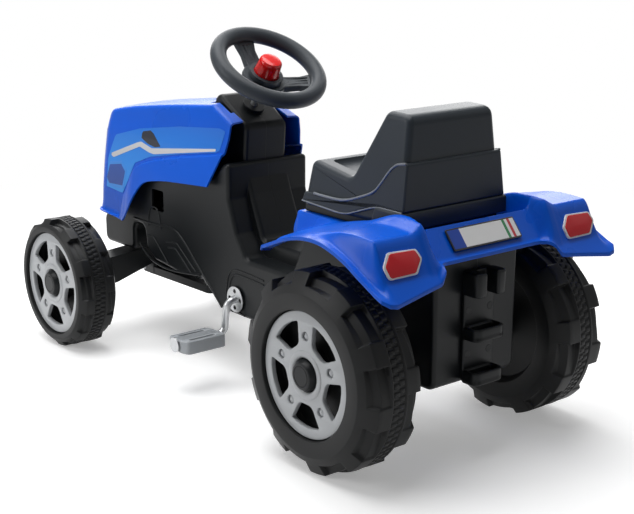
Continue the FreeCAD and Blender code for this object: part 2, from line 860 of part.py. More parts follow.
def column_collar():
    """Upper bearing of the steering rod, seated on the column's top."""
    collar = column_rod(collar_radius, collar_top, column_drop)
    body = column_rod(collar_body_radius, column_drop, column_drop + collar_body_length)
    return collar.fuse(body).cut(column_rod(rod_radius + running_fit, 0, steering_rod_drop))


def lower_bush():
    ring = column_rod(bush_radius, lower_bush_drop, lower_bush_drop + bush_length)
    return ring.cut(column_rod(rod_radius + running_fit, 0, steering_rod_drop))


# Front axle: a moulded beam that turns about a vertical pin, with a slotted tongue for the steering rod.
# The pin crosses the wheels' axis, so each wheel has its own stub pressed into the beam's end.
stub_inner = beam_block_half_width + kingpin_radius
front_axle_stubs = both_sides(rod_x(stub_inner, rod_end, front_axle_y, front_axle_z, rod_radius))


def front_axle():
    end = front_inner_face - beam_end_gap
    arch = beam_bottom + beam_arch
    slope = beam_arch * 2
    outline = [(-end, beam_bottom), (-beam_block_half_width - slope * 1.6, beam_bottom),
               (-beam_block_half_width, arch), (beam_block_half_width, arch),
               (beam_block_half_width + slope * 1.6, beam_bottom), (end, beam_bottom),
               (end, beam_top - beam_arch / 3), (beam_block_half_width * 2, beam_top),
               (-beam_block_half_width * 2, beam_top), (-end, beam_top - beam_arch / 3)]
    front = front_axle_y - beam_half_depth
    back = front_axle_y + beam_half_depth
    beam = prism_y(outline, chassis_edge, front, back)
    block_outline = [(-beam_block_half_width, front), (beam_block_half_width, front),
                     (beam_block_half_width, back), (-beam_block_half_width, back)]
    block = prism_z(block_outline, chassis_edge, beam_bottom, beam_top)
    slot_half = rod_radius + tongue_slot_play
    slot_front = steering_point(steering_arm, -steering_rod_drop - steering_pin_length)[0] - slot_half * 2
    slot_back = steering_point(steering_arm, -steering_rod_drop)[0] + slot_half
    tongue_end = slot_back + tongue_margin
    tongue_outline = [(-beam_block_half_width, front_axle_y), (beam_block_half_width, front_axle_y),
                      (tongue_half_width, tongue_end), (-tongue_half_width, tongue_end)]
    tongue = prism_z(tongue_outline, chassis_edge, beam_bottom, beam_bottom + tongue_thickness)
    axle = beam.fuse(block).fuse(tongue)
    slot = [(-slot_half, slot_front), (slot_half, slot_front),
            (slot_half, slot_back), (-slot_half, slot_back)]
    axle = axle.cut(prism_z(slot, slot_half * 0.8, 0, beam_bottom + tongue_thickness))
    axle = axle.cut(rod_z(0, front_axle_y, 0, beam_top, kingpin_radius + running_fit))
    return axle.cut(front_axle_stubs)


boss_top = block_bottom + kingpin_boss_height
nut_height = kingpin_head_height * 1.5
kingpin_bottom = beam_bottom - end_play - kingpin_head_height


def kingpin():
    """Bolt from under the beam up into the chassis, with its nut."""
    head = rod_z(0, front_axle_y, kingpin_bottom, kingpin_bottom + kingpin_head_height, kingpin_head_radius)
    return head.fuse(rod_z(0, front_axle_y, kingpin_bottom, boss_top + nut_height, kingpin_radius))


def kingpin_nut():
    nut = Part.Face(Part.makePolygon([
        vec(kingpin_head_radius * math.cos(math.radians(a)),
            front_axle_y + kingpin_head_radius * math.sin(math.radians(a)), boss_top)
        for a in range(0, 361, 60)])).extrude(along_z * nut_height)
    return nut.cut(rod_z(0, front_axle_y, 0, steering_height, kingpin_radius))


def thrust_washer():
    washer = rod_z(0, front_axle_y, beam_top, block_bottom, thrust_washer_radius)
    return washer.cut(rod_z(0, front_axle_y, 0, steering_height, kingpin_radius + running_fit))


# Chassis: two hollow halves that meet on the middle plane, screwed together from the right

def chassis_outline():
    """Side view of the wide body: rear box, saddle, engine bay, axle block and skid panel."""
    front = front_axle_y
    back = rear_axle_y + chassis_rear
    dash_low = saddle_height + dash_low_rise
    dash_top = dash_low + dash_height
    dash_y = crank_y - dash_front
    block_top = block_bottom + block_height
    notch_top = block_bottom + block_notch_height
    return [
        (back, chassis_bottom), (back, chassis_top),
        (rear_axle_y - deck_front + deck_front_lean * 2, chassis_top), (crank_y + saddle_back, saddle_height),
        (crank_y + saddle_front, saddle_height), (crank_y, saddle_height + knee_rise), (dash_y, dash_low),
        (dash_y, dash_top), (dash_y - dash_depth, dash_top), (dash_y - dash_depth - cowl_run, cowl_height),
        (front - nose_front, cowl_height),
        (front - block_front + block_step, block_top + block_step), (front - block_front, block_top),
        (front - block_front, block_bottom), (front + block_back, block_bottom),
        (front + block_back, notch_top), (front + block_notch_back, notch_top),
        (front + skid_front, block_bottom + skid_front_rise),
        (front + skid_start, block_bottom - skid_drop), (front + skid_middle, block_bottom - skid_belly),
        (front + skid_end, block_bottom - skid_drop), (crank_y - skid_tail, chassis_bottom)]


def column_outline():
    """Side view of the narrow body: steering column and the spine behind its foot."""
    foot = saddle_height + column_foot_rise
    under = saddle_height - spine_depth
    return [
        steering_point(column_reach_back, -column_drop), steering_point(-column_reach_front, -column_drop),
        steering_point(-column_reach_front, -column_drop - column_front_length),
        (crank_y - column_foot_front, foot), (crank_y - spine_front, under), (crank_y + spine_back, under),
        (crank_y + spine_back, saddle_height + spine_back_rise), (crank_y + spine_top_back, spine_height),
        (crank_y + spine_top_front, spine_height), (crank_y - column_back, foot),
        (crank_y - column_neck_front, saddle_height + column_neck_rise)]


def body_side(outline, half_width):
    """Left half of a body with rounded outer edges, and the hollow inside it."""
    corner = chassis_edge * 2
    outer = prism_x(outline, corner, 0, half_width)
    outer = outer.makeFillet(chassis_edge, edges_at_x(outer, half_width))
    hollow = prism_x(inset(outline, chassis_wall), corner - chassis_wall, -half_width,
                     half_width - chassis_wall)
    return outer, hollow


post_places = [
    (rear_axle_y + chassis_rear - post_from_rear, chassis_top - post_from_top),
    (rear_axle_y - post_from_front, chassis_top - post_from_top),
    (crank_y + saddle_post_back, saddle_height - saddle_post_drop),
    (front_axle_y + bay_post_back, block_bottom + bay_post_low_rise),
    (front_axle_y + bay_post_back, saddle_height + bay_post_high_rise),
    (front_axle_y + nose_post_back, saddle_height + nose_post_rise),
    (front_axle_y + axle_post_back, block_bottom + axle_post_rise)]
deck_screw_places = [(deck_screw_x, rear_axle_y - deck_screw_ahead),
                     (deck_screw_x, rear_axle_y + deck_screw_behind)]
seat_bolt_y = rear_axle_y - seat_bolt_ahead
hinge_y = front_axle_y - hinge_from_axle
hitch_screw_x = hitch_half_width - screw_head_radius * 1.5
hitch_low = chassis_bottom + hitch_lift
hitch_middle = hitch_low + hitch_shelf_thickness + hitch_throat
hitch_upper = hitch_middle + hitch_shelf_thickness + hitch_throat
hitch_screw_heights = (hitch_middle - hitch_throat / 2, hitch_upper - hitch_throat / 2)
seat_slot_half = seat_bolt_radius + end_play
seat_slot = box((seat_bolt_x - seat_slot_half, seat_bolt_x + seat_slot_half),
                (seat_bolt_y - seat_slot_half, seat_bolt_y + seat_travel + seat_slot_half),
                (chassis_top - chassis_wall - end_play, deck_top + end_play))


def chassis_inside():
    """Posts, bosses and bearing webs of the left half, all tied to its walls."""
    wall = chassis_half_width - chassis_wall / 2
    shapes = [rod_x(0, wall, y, z, post_radius) for y, z in post_places]
    shapes += [rod_z(x, y, chassis_top - post_length, chassis_top - chassis_wall / 2, post_radius)
               for x, y in deck_screw_places]
    shapes += [Part.makeCylinder(post_radius, post_length, vec(hitch_screw_x, rear_axle_y + chassis_rear
                                                             - chassis_wall / 2, z), along_y * -1)
               for z in hitch_screw_heights]
    shapes.append(rod_z(0, front_axle_y, block_bottom, boss_top, kingpin_boss_radius))
    shapes.append(on_steering(column_rod(collar_body_radius + chassis_wall, column_drop,
                                         column_drop + collar_body_length)))
    web_half = bush_radius + chassis_wall * 4
    shapes.append(on_steering(box((0, wall), (-web_half, web_half),
                                  (-lower_bush_drop - bush_length, -lower_bush_drop))))
    for y, z in ((crank_y, crank_height), (rear_axle_y, rear_axle_z)):
        shapes.append(rod_x(chassis_half_width - bush_length, wall, y, z, flange_radius))
    return shapes


def chassis_holes():
    """Everything that passes through the walls of the left half."""
    reach = outer_half_track
    holes = [rod_x(0, reach, y, z, bush_radius)
             for y, z in ((crank_y, crank_height), (rear_axle_y, rear_axle_z))]
    window_front = front_axle_y + window_from_axle
    window_bottom = block_bottom + window_rise
    holes.append(prism_x([(window_front, window_bottom), (window_front + window_size, window_bottom),
                          (window_front + window_size, window_bottom + window_size),
                          (window_front, window_bottom + window_size)],
                         chassis_wall, chassis_half_width - chassis_wall * 2, reach))
    holes.append(rod_z(0, front_axle_y, 0, boss_top, kingpin_radius))
    holes.append(on_steering(column_rod(collar_body_radius, 0, column_drop + collar_body_length)))
    holes.append(on_steering(column_rod(rod_radius + chassis_wall, column_drop, lower_bush_drop)))
    holes.append(on_steering(column_rod(bush_radius, lower_bush_drop, steering_rod_drop + bush_length)))
    holes.append(seat_slot)
    holes += [rod_z(x, y, chassis_top - post_length, chassis_top, screw_radius) for x, y in deck_screw_places]
    holes += [Part.makeCylinder(screw_radius, post_length, vec(hitch_screw_x, rear_axle_y + chassis_rear, z),
                                along_y * -1) for z in hitch_screw_heights]
    return holes


def hinge_eye(start, end, pin_hole, forward, back):
    """Eye on the bonnet's hinge axis with a web reaching forward or back to what carries it."""
    eye = rod_x(start, end, hinge_y, hinge_height, hinge_eye_radius)
    web = box((start, end), (hinge_y - forward, hinge_y + back),
              (hinge_height - hinge_eye_radius, hinge_height + hinge_eye_radius))
    return eye.fuse(web).cut(rod_x(start, end, hinge_y, hinge_height, pin_hole))


def chassis_half():
    wide, wide_hollow = body_side(chassis_outline(), chassis_half_width)
    narrow, narrow_hollow = body_side(column_outline(), column_half_width)
    shell = wide.fuse(narrow).cut(wide_hollow.fuse(narrow_hollow))
    eye_back = hinge_from_axle - nose_front - chassis_edge
    eye = hinge_eye(hinge_eye_x, hinge_eye_x + hinge_eye_width, hinge_pin_radius, 0, eye_back)
    whole = shell.multiFuse(chassis_inside() + [eye])
    whole = whole.cut(Part.makeCompound(chassis_holes()))
    far = outer_half_track * 2
    return whole.cut(box((-far, 0), (-far * 2, far * 2), (0, far * 2)))


half = chassis_half()
pilot_depth = chassis_half_width / 3
screw_reach = chassis_half_width - screw_head_height * 2
screw_rods = [rod_x(-screw_reach, pilot_depth, y, z, screw_radius) for y, z in post_places]
screw_sinks = [rod_x(-chassis_half_width - chassis_wall, -screw_reach, y, z, screw_head_radius)
               for y, z in post_places]
screw_heads = [rod_x(-screw_reach - screw_head_height, -screw_reach, y, z, screw_head_radius)
               for y, z in post_places]
chassis_left = half.cut(Part.makeCompound(screw_rods))
chassis_right = mirrored(half).cut(Part.makeCompound(screw_rods + screw_sinks))
chassis_screws = Part.makeCompound([rod.fuse(head) for rod, head in zip(screw_rods, screw_heads)])


# Bonnet: one blue shell hinged at its front, open below and behind

def bonnet_top_line(skin):
    """Front and top of the bonnet in side view, moved inward by a skin."""
    front = front_axle_y
    nose = front - bonnet_nose + skin
    return [(nose, bonnet_low), (nose + bonnet_brow_back, bonnet_brow_height),
            (nose + bonnet_top_front_back, bonnet_top_front_height - skin),
            (front - bonnet_bend_ahead, bonnet_bend_height - skin),
            (front + bonnet_middle_from_axle, bonnet_middle_height - skin),
            (front + bonnet_top_end_from_axle, bonnet_top_end_height - skin)]


def bonnet_outline():
    front = front_axle_y
    return bonnet_top_line(0) + [
        (front + bonnet_flap_from_axle, bonnet_flap_height),
        (front + bonnet_tail_from_axle, bonnet_crease),
        (front + bonnet_sill_from_axle, bonnet_sill_height),
        (front + bonnet_arch_from_axle, bonnet_arch_height),
        (front + bonnet_arch_front, bonnet_low - bonnet_skin)]


def bonnet_section(skin):
    """Front view of the bonnet: upright low sides that lean in to the crease, and less above it."""
    side = bonnet_half_width - skin
    crease = bonnet_crease_half_width - skin
    top = bonnet_top_half_width - skin
    roof = steering_height - skin
    left = [(side, 0), (side, bonnet_side_height), (crease, bonnet_crease), (top, bonnet_shoulder),
            (top - bonnet_shoulder_width, roof)]
    return left + [(-x, z) for x, z in reversed(left)]


def bonnet_plan(skin):
    side = bonnet_half_width - skin
    nose = bonnet_front_half_width - skin
    front = front_axle_y - bonnet_nose - trim_plate_thickness + skin
    taper = front + bonnet_front_taper
    back = rear_axle_y
    return [(-side, back), (side, back), (side, taper), (nose, front), (-nose, front), (-side, taper)]


def column_front_at(height):
    """Where the front of the steering column stands at a height."""
    top_y, top_z = steering_point(-column_reach_front, -column_drop)
    return top_y - (top_z - height) * math.tan(steering_lean)


notch_front = column_front_at(bonnet_middle_height) - bonnet_notch_front_gap


def bonnet():
    front = front_axle_y
    far = bonnet_half_width * 2
    outer = prism_x(bonnet_outline(), bonnet_corner / 4, -far, far)
    ends = (front - far, front + far * 3)
    outer = outer.common(prism_y(bonnet_section(0), bonnet_corner / 3, *ends))
    outer = outer.common(prism_z(bonnet_plan(0), bonnet_corner, 0, far * 4))
    open_back = [(rear_axle_y, bonnet_top_end_height - bonnet_skin), (rear_axle_y, 0),
                 (front - bonnet_nose + bonnet_skin, 0)]
    inner = prism_x(bonnet_top_line(bonnet_skin) + open_back, bonnet_skin, -far, far)
    inner = inner.common(prism_y(bonnet_section(bonnet_skin), bonnet_corner / 3, *ends))
    inner = inner.common(prism_z(bonnet_plan(bonnet_skin), bonnet_corner - bonnet_skin, 0, far * 4))
    notch_half = column_half_width + bonnet_notch_gap
    notch = box((-notch_half, notch_half), (notch_front, ends[1]), (0, far * 4))
    shell = outer.cut(inner).cut(notch)
    eye_start = hinge_eye_x + hinge_eye_width + end_play
    eye = hinge_eye(eye_start, eye_start + hinge_eye_width, hinge_pin_radius + running_fit,
                    bonnet_nose - bonnet_skin / 2 - hinge_from_axle, 0)
    return shell.multiFuse([eye, mirrored(eye)])


def front_plate(x_range, low, high):
    """Flat plate on the bonnet's front between two heights."""
    lean = bonnet_brow_back / (bonnet_brow_height - bonnet_low)
    bottom_y = front_axle_y - bonnet_nose + lean * (low - bonnet_low)
    top_y = front_axle_y - bonnet_nose + lean * (high - bonnet_low)
    outline = [(bottom_y, low), (top_y, high), (top_y - trim_plate_thickness, high),
               (bottom_y - trim_plate_thickness, low)]
    return prism_x(outline, trim_plate_thickness / 4, *x_range)


def front_grille():
    grille = front_plate((-grille_half_width, grille_half_width), grille_low, grille_high)
    slot_half = grille_half_width - grille_border
    pitch = grille_bar + grille_slot
    first = grille_low + grille_bar + grille_border
    slots = [box((-slot_half, slot_half), (front_axle_y - bonnet_nose * 2, front_axle_y),
                 (first + i * pitch, first + i * pitch + grille_slot))
             for i in range(int((grille_high - first) / pitch))]
    return grille.cut(Part.makeCompound(slots))


headlamp_start = grille_half_width + trim_plate_thickness
headlamp = front_plate((headlamp_start, headlamp_start + headlamp_width - trim_plate_thickness),
                       headlamp_low, headlamp_high)
top_rise = ((bonnet_top_end_height - bonnet_middle_height)
            / (bonnet_top_end_from_axle - bonnet_middle_from_axle))
catch_back_z = bonnet_middle_height + top_rise * (notch_front - front_axle_y - bonnet_middle_from_axle)
catch_front_z = catch_back_z - top_rise * catch_length
bonnet_catch = prism_x([(notch_front - catch_length, catch_front_z), (notch_front, catch_back_z),
                        (notch_front, catch_back_z + trim_plate_thickness),
                        (notch_front - catch_length, catch_front_z + trim_plate_thickness)],
                       trim_plate_thickness / 4, -catch_width / 2, catch_width / 2)
hinge_pin = rod_x(hinge_eye_x, hinge_eye_x + hinge_eye_width * 2 + end_play, hinge_y, hinge_height,
                  hinge_pin_radius)


# Deck: seat platform, mudguards and the rear panel with its lamp pods, one blue moulding

def fender_line(rises, drop, extra):
    """Top line of a mudguard from (distance behind the rear axle, height over the deck) points."""
    points = [vec(0, rear_axle_y + back, deck_top + rise - drop) for back, rise in rises]
    if extra:
        points.insert(0, points[0] + (points[0] - points[1]) * extra)
        points.append(points[-1] + (points[-1] - points[-2]) * extra)
    return points


def fender_solid(drop, extra):
    """Space under a mudguard's top, which rises from its outer edge to the deck's side."""
    floor = deck_bottom - deck_skirt
    wires = []
    for x, rises in ((deck_half_width, fender_inner_line), (fender_half_width, fender_outer_line)):
        points = [point + along_x * x for point in fender_line(rises, drop, extra)]
        curve = Part.BSplineCurve()
        curve.interpolate(points)
        low_end = vec(x, points[-1].y, floor)
        low_start = vec(x, points[0].y, floor)
        sides = [curve.toShape(), Part.makeLine(points[-1], low_end), Part.makeLine(low_end, low_start),
                 Part.makeLine(low_start, points[0])]
        wires.append(Part.Wire(sides))
    return Part.makeLoft(wires, True, True)


def platform_outline(skin, floor):
    """Side view of the seat platform, whose leaning front is its skirt."""
    front = rear_axle_y - deck_front + skin
    back = rear_axle_y + ridge_front + skin * 2
    lean = deck_front_lean / deck_skirt
    top = deck_top - skin
    return [(front + (floor - deck_bottom) * lean, floor), (front + (top - deck_bottom) * lean, top),
            (back, top), (back, floor)]


def ridge_outline(skin, floor):
    """Side view of the raised rear panel, whose sloping back carries the number plate."""
    front = rear_axle_y + ridge_front + skin
    top = deck_top + ridge_height - skin
    slope_top = rear_axle_y + ridge_front + ridge_top_width - skin / 4
    slope_end = slope_top + ridge_slope_run - skin / 2
    return [(front, floor), (front, top), (slope_top, top), (slope_end, top - ridge_slope_drop),
            (slope_end, floor)]


pod_top = deck_top + ridge_height
pod_slope_start = rear_axle_y + pod_slope_from_axle


def pod_outline(floor):
    """Side view of a lamp pod, whose sloping back carries the lamp over a small lip."""
    front = rear_axle_y + pod_front
    back = pod_slope_start + pod_slope_run
    lip = back + pod_lip_run
    slope_end = pod_top - pod_slope_drop
    return [(front, pod_top - pod_front_drop), (rear_axle_y + pod_top_front, pod_top),
            (pod_slope_start, pod_top), (back, slope_end), (lip, slope_end - pod_lip_drop),
            (lip, floor), (front, floor)]


def deck():
    corner = deck_skin * 2
    floor = deck_bottom - deck_skirt
    pod_floor = pod_top - pod_slope_drop - pod_lip_drop - deck_skin
    side = deck_half_width
    edge = fender_half_width
    far = outer_half_track * 2
    outer = [prism_x(platform_outline(0, deck_bottom), corner, -side, side),
             prism_x(ridge_outline(0, deck_bottom), corner, -pod_inner_x - deck_skin,
                     pod_inner_x + deck_skin)]
    hollow = [prism_x(platform_outline(deck_skin, floor), deck_skin, deck_skin - side, side - deck_skin),
              prism_x(ridge_outline(deck_skin, floor), deck_skin, -pod_inner_x, pod_inner_x)]
    fender_floor = deck_top + fender_outer_line[-1][1] - deck_skin * 3
    fender = fender_solid(0, 0).cut(box((0, edge), (-far * 2, far * 2), (0, fender_floor)))
    under_fender = fender_solid(deck_skin, 0.5).common(
        box((side + deck_skin, edge - deck_skin), (-far * 2, far * 2), (0, far)))
    under_lip = fender_solid(deck_skin * 3, 0.5)
    under_lip = under_lip.common(box((edge - deck_skin * 2, edge), (-far * 2, far * 2), (0, far)))
    pod = prism_x(pod_outline(pod_floor), corner, pod_inner_x, pod_outer_x)
    pod_hollow = prism_x(inset(pod_outline(floor), deck_skin), deck_skin, pod_inner_x + deck_skin,
                         pod_outer_x - deck_skin)
    for shape in (fender, pod):
        outer += [shape, mirrored(shape)]
    for shape in (under_fender, under_lip, pod_hollow):
        hollow += [shape, mirrored(shape)]
    tyre_room = rod_x(side + deck_skin, far, rear_axle_y, rear_axle_z, rear_tyre_radius + deck_skin * 4)
    whole = outer[0].multiFuse(outer[1:]).cut(hollow[0].multiFuse(hollow[1:]))
    whole = whole.cut(Part.makeCompound([tyre_room, mirrored(tyre_room)]))
    whole = whole.cut(Part.makeCompound([seat_slot, mirrored(seat_slot)]))
    for x, y in deck_screw_places:
        screw = deck_screw(x, y)
        whole = whole.cut(Part.makeCompound([screw, mirrored(screw)]))
    return max(whole.Solids, key=lambda solid: solid.Volume)


def deck_screw(x, y):
    """Screw with a head sunk flush in the platform."""
    head = rod_z(x, y, deck_top - deck_skin / 2, deck_top, screw_head_radius)
    return head.fuse(rod_z(x, y, chassis_top - post_length, deck_top, screw_radius))


def on_slope(outline, x, start, run, drop, along, thickness):
    """Plate lying on a sloping rear face: outline of (x, down the slope) points round its centre."""
    length = math.hypot(run, drop)
    down = vec(0, run / length, -drop / length)
    outward = vec(0, drop / length, run / length)
    centre = vec(x, *start) + down * along
    points = [centre + along_x * across + down * below for across, below in outline]
    return Part.Face(rounded_wire(points, thickness * 2)).extrude(outward * thickness)


pod_slope_length = math.hypot(pod_slope_run, pod_slope_drop)
rear_lamp = on_slope(lamp_outline, lamp_centre_x, (pod_slope_start, pod_top), pod_slope_run, pod_slope_drop,
                     pod_slope_length * lamp_along_slope, trim_plate_thickness)
plate_corners = [(-plate_width / 2, -plate_height / 2), (plate_width / 2, -plate_height / 2),
                 (plate_width / 2, plate_height / 2), (-plate_width / 2, plate_height / 2)]
ridge_slope_length = math.hypot(ridge_slope_run, ridge_slope_drop)
number_plate = on_slope(plate_corners, 0, (rear_axle_y + ridge_front + ridge_top_width, pod_top),
                        ridge_slope_run, ridge_slope_drop, ridge_slope_length / 2, plate_thickness)


# Seat: hollow moulded shell on a base that slides along the deck

def on_seat(line):
    """Side-view points from (distance behind the rear axle, height over the seat's underside) points."""
    return [(rear_axle_y + back, seat_bottom + rise) for back, rise in line]


def seat_section(skin):
    """Front view of the seat: upright at its foot, leaning in above it."""
    side = seat_half_width - skin
    top = seat_top_half_width - skin
    foot = seat_bottom + seat_flange_height
    head = seat_bottom + seat_lean_height
    roof = seat_bottom + seat_half_width * 2
    return [(-side, 0), (side, 0), (side, foot), (top, head), (top, roof),
            (-top, roof), (-top, head), (-side, foot)]


def seat():
    far = seat_half_width * 2
    span = (rear_axle_y - far * 2, rear_axle_y + far)
    half_dish = seat_dish_half_width
    dish = on_seat(dish_side_line)
    corner = seat_skin * 2
    outer = prism_x(on_seat(seat_side_line), corner, -far, far)
    outer = outer.common(prism_y(seat_section(0), seat_skin, *span))
    outer = outer.cut(prism_x(dish, corner, -half_dish, half_dish))
    open_outline = on_seat(seat_side_line)
    front = open_outline[0][0]
    back = open_outline[-1][0]
    open_outline[0] = (front, 0)
    open_outline[-1] = (back, 0)
    inner = prism_x(inset(open_outline, seat_skin), seat_skin, -far, far)
    inner = inner.common(prism_y(seat_section(seat_skin), seat_skin, *span))
    inner = inner.cut(prism_x(inset(dish, -seat_skin), corner + seat_skin,
                              -half_dish - seat_skin, half_dish + seat_skin))
    foot = deck_top + end_play
    base_side = seat_half_width - seat_base_inset
    base_front = front + seat_base_inset
    base_back = back - seat_skin
    base = [(-base_side, base_front), (base_side, base_front),
            (base_side, base_back), (-base_side, base_back)]
    ring = prism_z(base, seat_base_inset, foot, seat_bottom + seat_skin)
    ring = ring.cut(prism_z(inset(base, seat_skin), seat_base_inset - seat_skin, 0, seat_bottom + far))
    ledge = box((-seat_half_width + seat_skin / 2, seat_half_width - seat_skin / 2),
                (front + seat_skin / 2, back - seat_skin / 2),
                (seat_bottom, seat_bottom + seat_skin))
    ledge = ledge.cut(prism_z(inset(base, seat_skin), seat_base_inset - seat_skin, 0, seat_bottom + far))
    below_dish = prism_x(inset(dish, -seat_skin / 2), corner, -far, far)
    bosses = [rod_z(x, seat_bolt_y, foot, seat_bottom + far, seat_washer_radius).cut(below_dish)
              for x in (-seat_bolt_x, seat_bolt_x)]
    bosses = [min(boss.Solids, key=lambda solid: solid.BoundBox.ZMin) for boss in bosses]
    whole = outer.cut(inner).multiFuse([ring, ledge.common(outer)] + bosses)
    holes = [rod_z(x, seat_bolt_y, 0, seat_bottom + seat_lift, seat_bolt_radius)
             for x in (-seat_bolt_x, seat_bolt_x)]
    return whole.cut(Part.makeCompound(holes))


def seat_bolt():
    """Bolt through the slots into the seat, with its washer under the chassis top."""
    under = chassis_top - chassis_wall - end_play
    washer = rod_z(seat_bolt_x, seat_bolt_y, under - seat_washer_thickness, under, seat_washer_radius)
    shank = rod_z(seat_bolt_x, seat_bolt_y, under - seat_washer_thickness * 2, seat_bottom + seat_lift,
                  seat_bolt_radius)
    return shank.fuse(washer)


# Tow hitch: a ribbed bracket on the rear wall, with two shelves bored for a trailer's pin
hitch_face = rear_axle_y + chassis_rear
hitch_bore_y = hitch_face + hitch_plate_thickness + hitch_reach / 2


def hitch_shelf(low, thickness):
    half_width = hitch_half_width
    back = hitch_face + hitch_plate_thickness / 2
    end = hitch_face + hitch_plate_thickness + hitch_reach
    outline = [(-half_width, back), (half_width, back), (half_width, end), (-half_width, end)]
    return prism_z(outline, hitch_corner, low, low + thickness)


def tow_hitch():
    top = hitch_upper + hitch_block_height
    plate = box((-hitch_half_width, hitch_half_width), (hitch_face, hitch_face + hitch_plate_thickness),
                (hitch_low, top))
    shelves = [hitch_shelf(hitch_low, hitch_shelf_thickness),
               hitch_shelf(hitch_middle, hitch_shelf_thickness),
               hitch_shelf(hitch_upper, hitch_block_height)]
    bracket = plate.multiFuse(shelves)
    throat_half = hitch_half_width / 3
    throat = box((-throat_half, throat_half),
                 (hitch_face + hitch_plate_thickness, hitch_face + hitch_reach * 4), (hitch_upper, top))
    bore = rod_z(0, hitch_bore_y, hitch_low, hitch_middle + hitch_shelf_thickness, hitch_bore_radius)
    screws = Part.makeCompound(hitch_screws())
    return bracket.cut(throat).cut(bore).cut(screws)


def hitch_screws():
    """Four screws through the bracket's plate into the rear wall, their heads sunk flush."""
    outside = hitch_face + hitch_plate_thickness
    screws = []
    for x in (-hitch_screw_x, hitch_screw_x):
        for z in hitch_screw_heights:
            shank = Part.makeCylinder(screw_radius, post_length + hitch_plate_thickness, vec(x, outside, z),
                                      along_y * -1)
            head = Part.makeCylinder(screw_head_radius, screw_head_height, vec(x, outside, z), along_y * -1)
            screws.append(shank.fuse(head))
    return screws


deck_screws = [deck_screw(x, y) for x, y in deck_screw_places]
nodes = {
    "chassis_left": chassis_left,
    "chassis_right": chassis_right,
    "chassis_screws": chassis_screws,
    "deck": deck(),
    "deck_screws": Part.makeCompound(deck_screws + [mirrored(screw) for screw in deck_screws]),
    "rear_lamp_left": rear_lamp,
    "rear_lamp_right": mirrored(rear_lamp),
    "number_plate": number_plate,
    "seat": seat(),
    "seat_bolts": both_sides(seat_bolt()),
    "tow_hitch": tow_hitch(),
    "hitch_screws": Part.makeCompound(hitch_screws()),
    "bonnet": bonnet(),
    "bonnet_hinge_pins": both_sides(hinge_pin),
    "bonnet_catch": bonnet_catch,
    "front_grille": front_grille(),
    "headlamp_left": headlamp,
    "headlamp_right": mirrored(headlamp),
    "steering_wheel": on_steering(steering_wheel()),
    "steering_cross_pin": on_steering(steering_cross_pin),
    "horn_ring": on_steering(horn_ring()),
    "horn_button": on_steering(horn_button()),
    "horn_spring": on_steering(horn_spring()),
    "steering_rod": on_steering(steering_rod),
    "column_collar": on_steering(column_collar()),
    "lower_bush": on_steering(lower_bush()),
    "front_axle": front_axle(),
    "front_axle_stubs": front_axle_stubs,
    "front_axle_clips": axle_clips(front_axle_y, front_axle_z),
    "kingpin": kingpin(),
    "kingpin_nut": kingpin_nut(),
    "thrust_washer": thrust_washer(),
    "rear_axle_rod": rear_axle_rod,
    "rear_axle_clips": axle_clips(rear_axle_y, rear_axle_z),
    "rear_spacers": rear_spacers,
    "rear_bushes": both_sides(bush_x(rear_axle_y, rear_axle_z)),
    "rear_sprocket": rear_sprocket,
    "rear_sprocket_pin": rear_sprocket_pin,
    "drive_pin": drive_pin,
    "crank": crank,
    "crank_sprocket": crank_sprocket,
    "crank_sprocket_pin": crank_sprocket_pin,
    "crank_bushes": both_sides(bush_x(crank_y, crank_height)),
    "crank_plates": both_sides(crank_plate),
    "chain": chain(),
    "pedal_left": pedal(1),
    "pedal_right": pedal(-1),
    "pedal_clips": Part.makeCompound([pedal_clip(1), pedal_clip(-1)]),
    "rear_wheel_left": driven_wheel,
    "rear_wheel_right": mirrored(rear_set[0]),
    "rear_trim_left": rear_set[1],
    "rear_trim_right": mirrored(rear_set[1]),
    "rear_cap_left": rear_set[2],
    "rear_cap_right": mirrored(rear_set[2]),
    "front_wheel_left": front_set[0],
    "front_wheel_right": mirrored(front_set[0]),
    "front_trim_left": front_set[1],
    "front_trim_right": mirrored(front_set[1]),
    "front_cap_left": front_set[2],
    "front_cap_right": mirrored(front_set[2]),
}

os.makedirs("parts", exist_ok=True)
for name, shape in nodes.items():
    shape.exportStep(os.path.join("parts", name + ".step"))
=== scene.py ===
import json
import math

import bpy
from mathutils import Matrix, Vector


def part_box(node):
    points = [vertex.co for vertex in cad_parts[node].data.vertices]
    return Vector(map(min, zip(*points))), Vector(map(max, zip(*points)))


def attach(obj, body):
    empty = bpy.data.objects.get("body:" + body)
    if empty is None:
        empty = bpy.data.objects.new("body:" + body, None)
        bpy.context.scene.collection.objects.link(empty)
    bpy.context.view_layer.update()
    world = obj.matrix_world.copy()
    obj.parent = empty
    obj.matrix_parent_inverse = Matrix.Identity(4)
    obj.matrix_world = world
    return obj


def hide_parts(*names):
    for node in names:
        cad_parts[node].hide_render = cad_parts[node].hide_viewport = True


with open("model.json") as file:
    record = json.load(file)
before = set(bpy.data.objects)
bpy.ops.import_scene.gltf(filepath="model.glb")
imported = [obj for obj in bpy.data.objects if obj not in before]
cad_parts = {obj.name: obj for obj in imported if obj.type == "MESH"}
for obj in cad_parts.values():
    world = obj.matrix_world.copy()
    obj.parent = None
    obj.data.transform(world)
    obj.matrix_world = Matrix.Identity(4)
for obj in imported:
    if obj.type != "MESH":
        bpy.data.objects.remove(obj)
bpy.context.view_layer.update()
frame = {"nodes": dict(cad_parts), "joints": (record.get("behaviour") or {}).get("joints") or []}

# The studio: a pale floor, a white surround and soft lamps round a child's pedal tractor.
# The tractor faces -Y and its left side is +X, and the camera stands behind its left shoulder.
scene = bpy.context.scene
scene.view_settings.view_transform = "Standard"
image_width = 634
focal_pixels = 1300
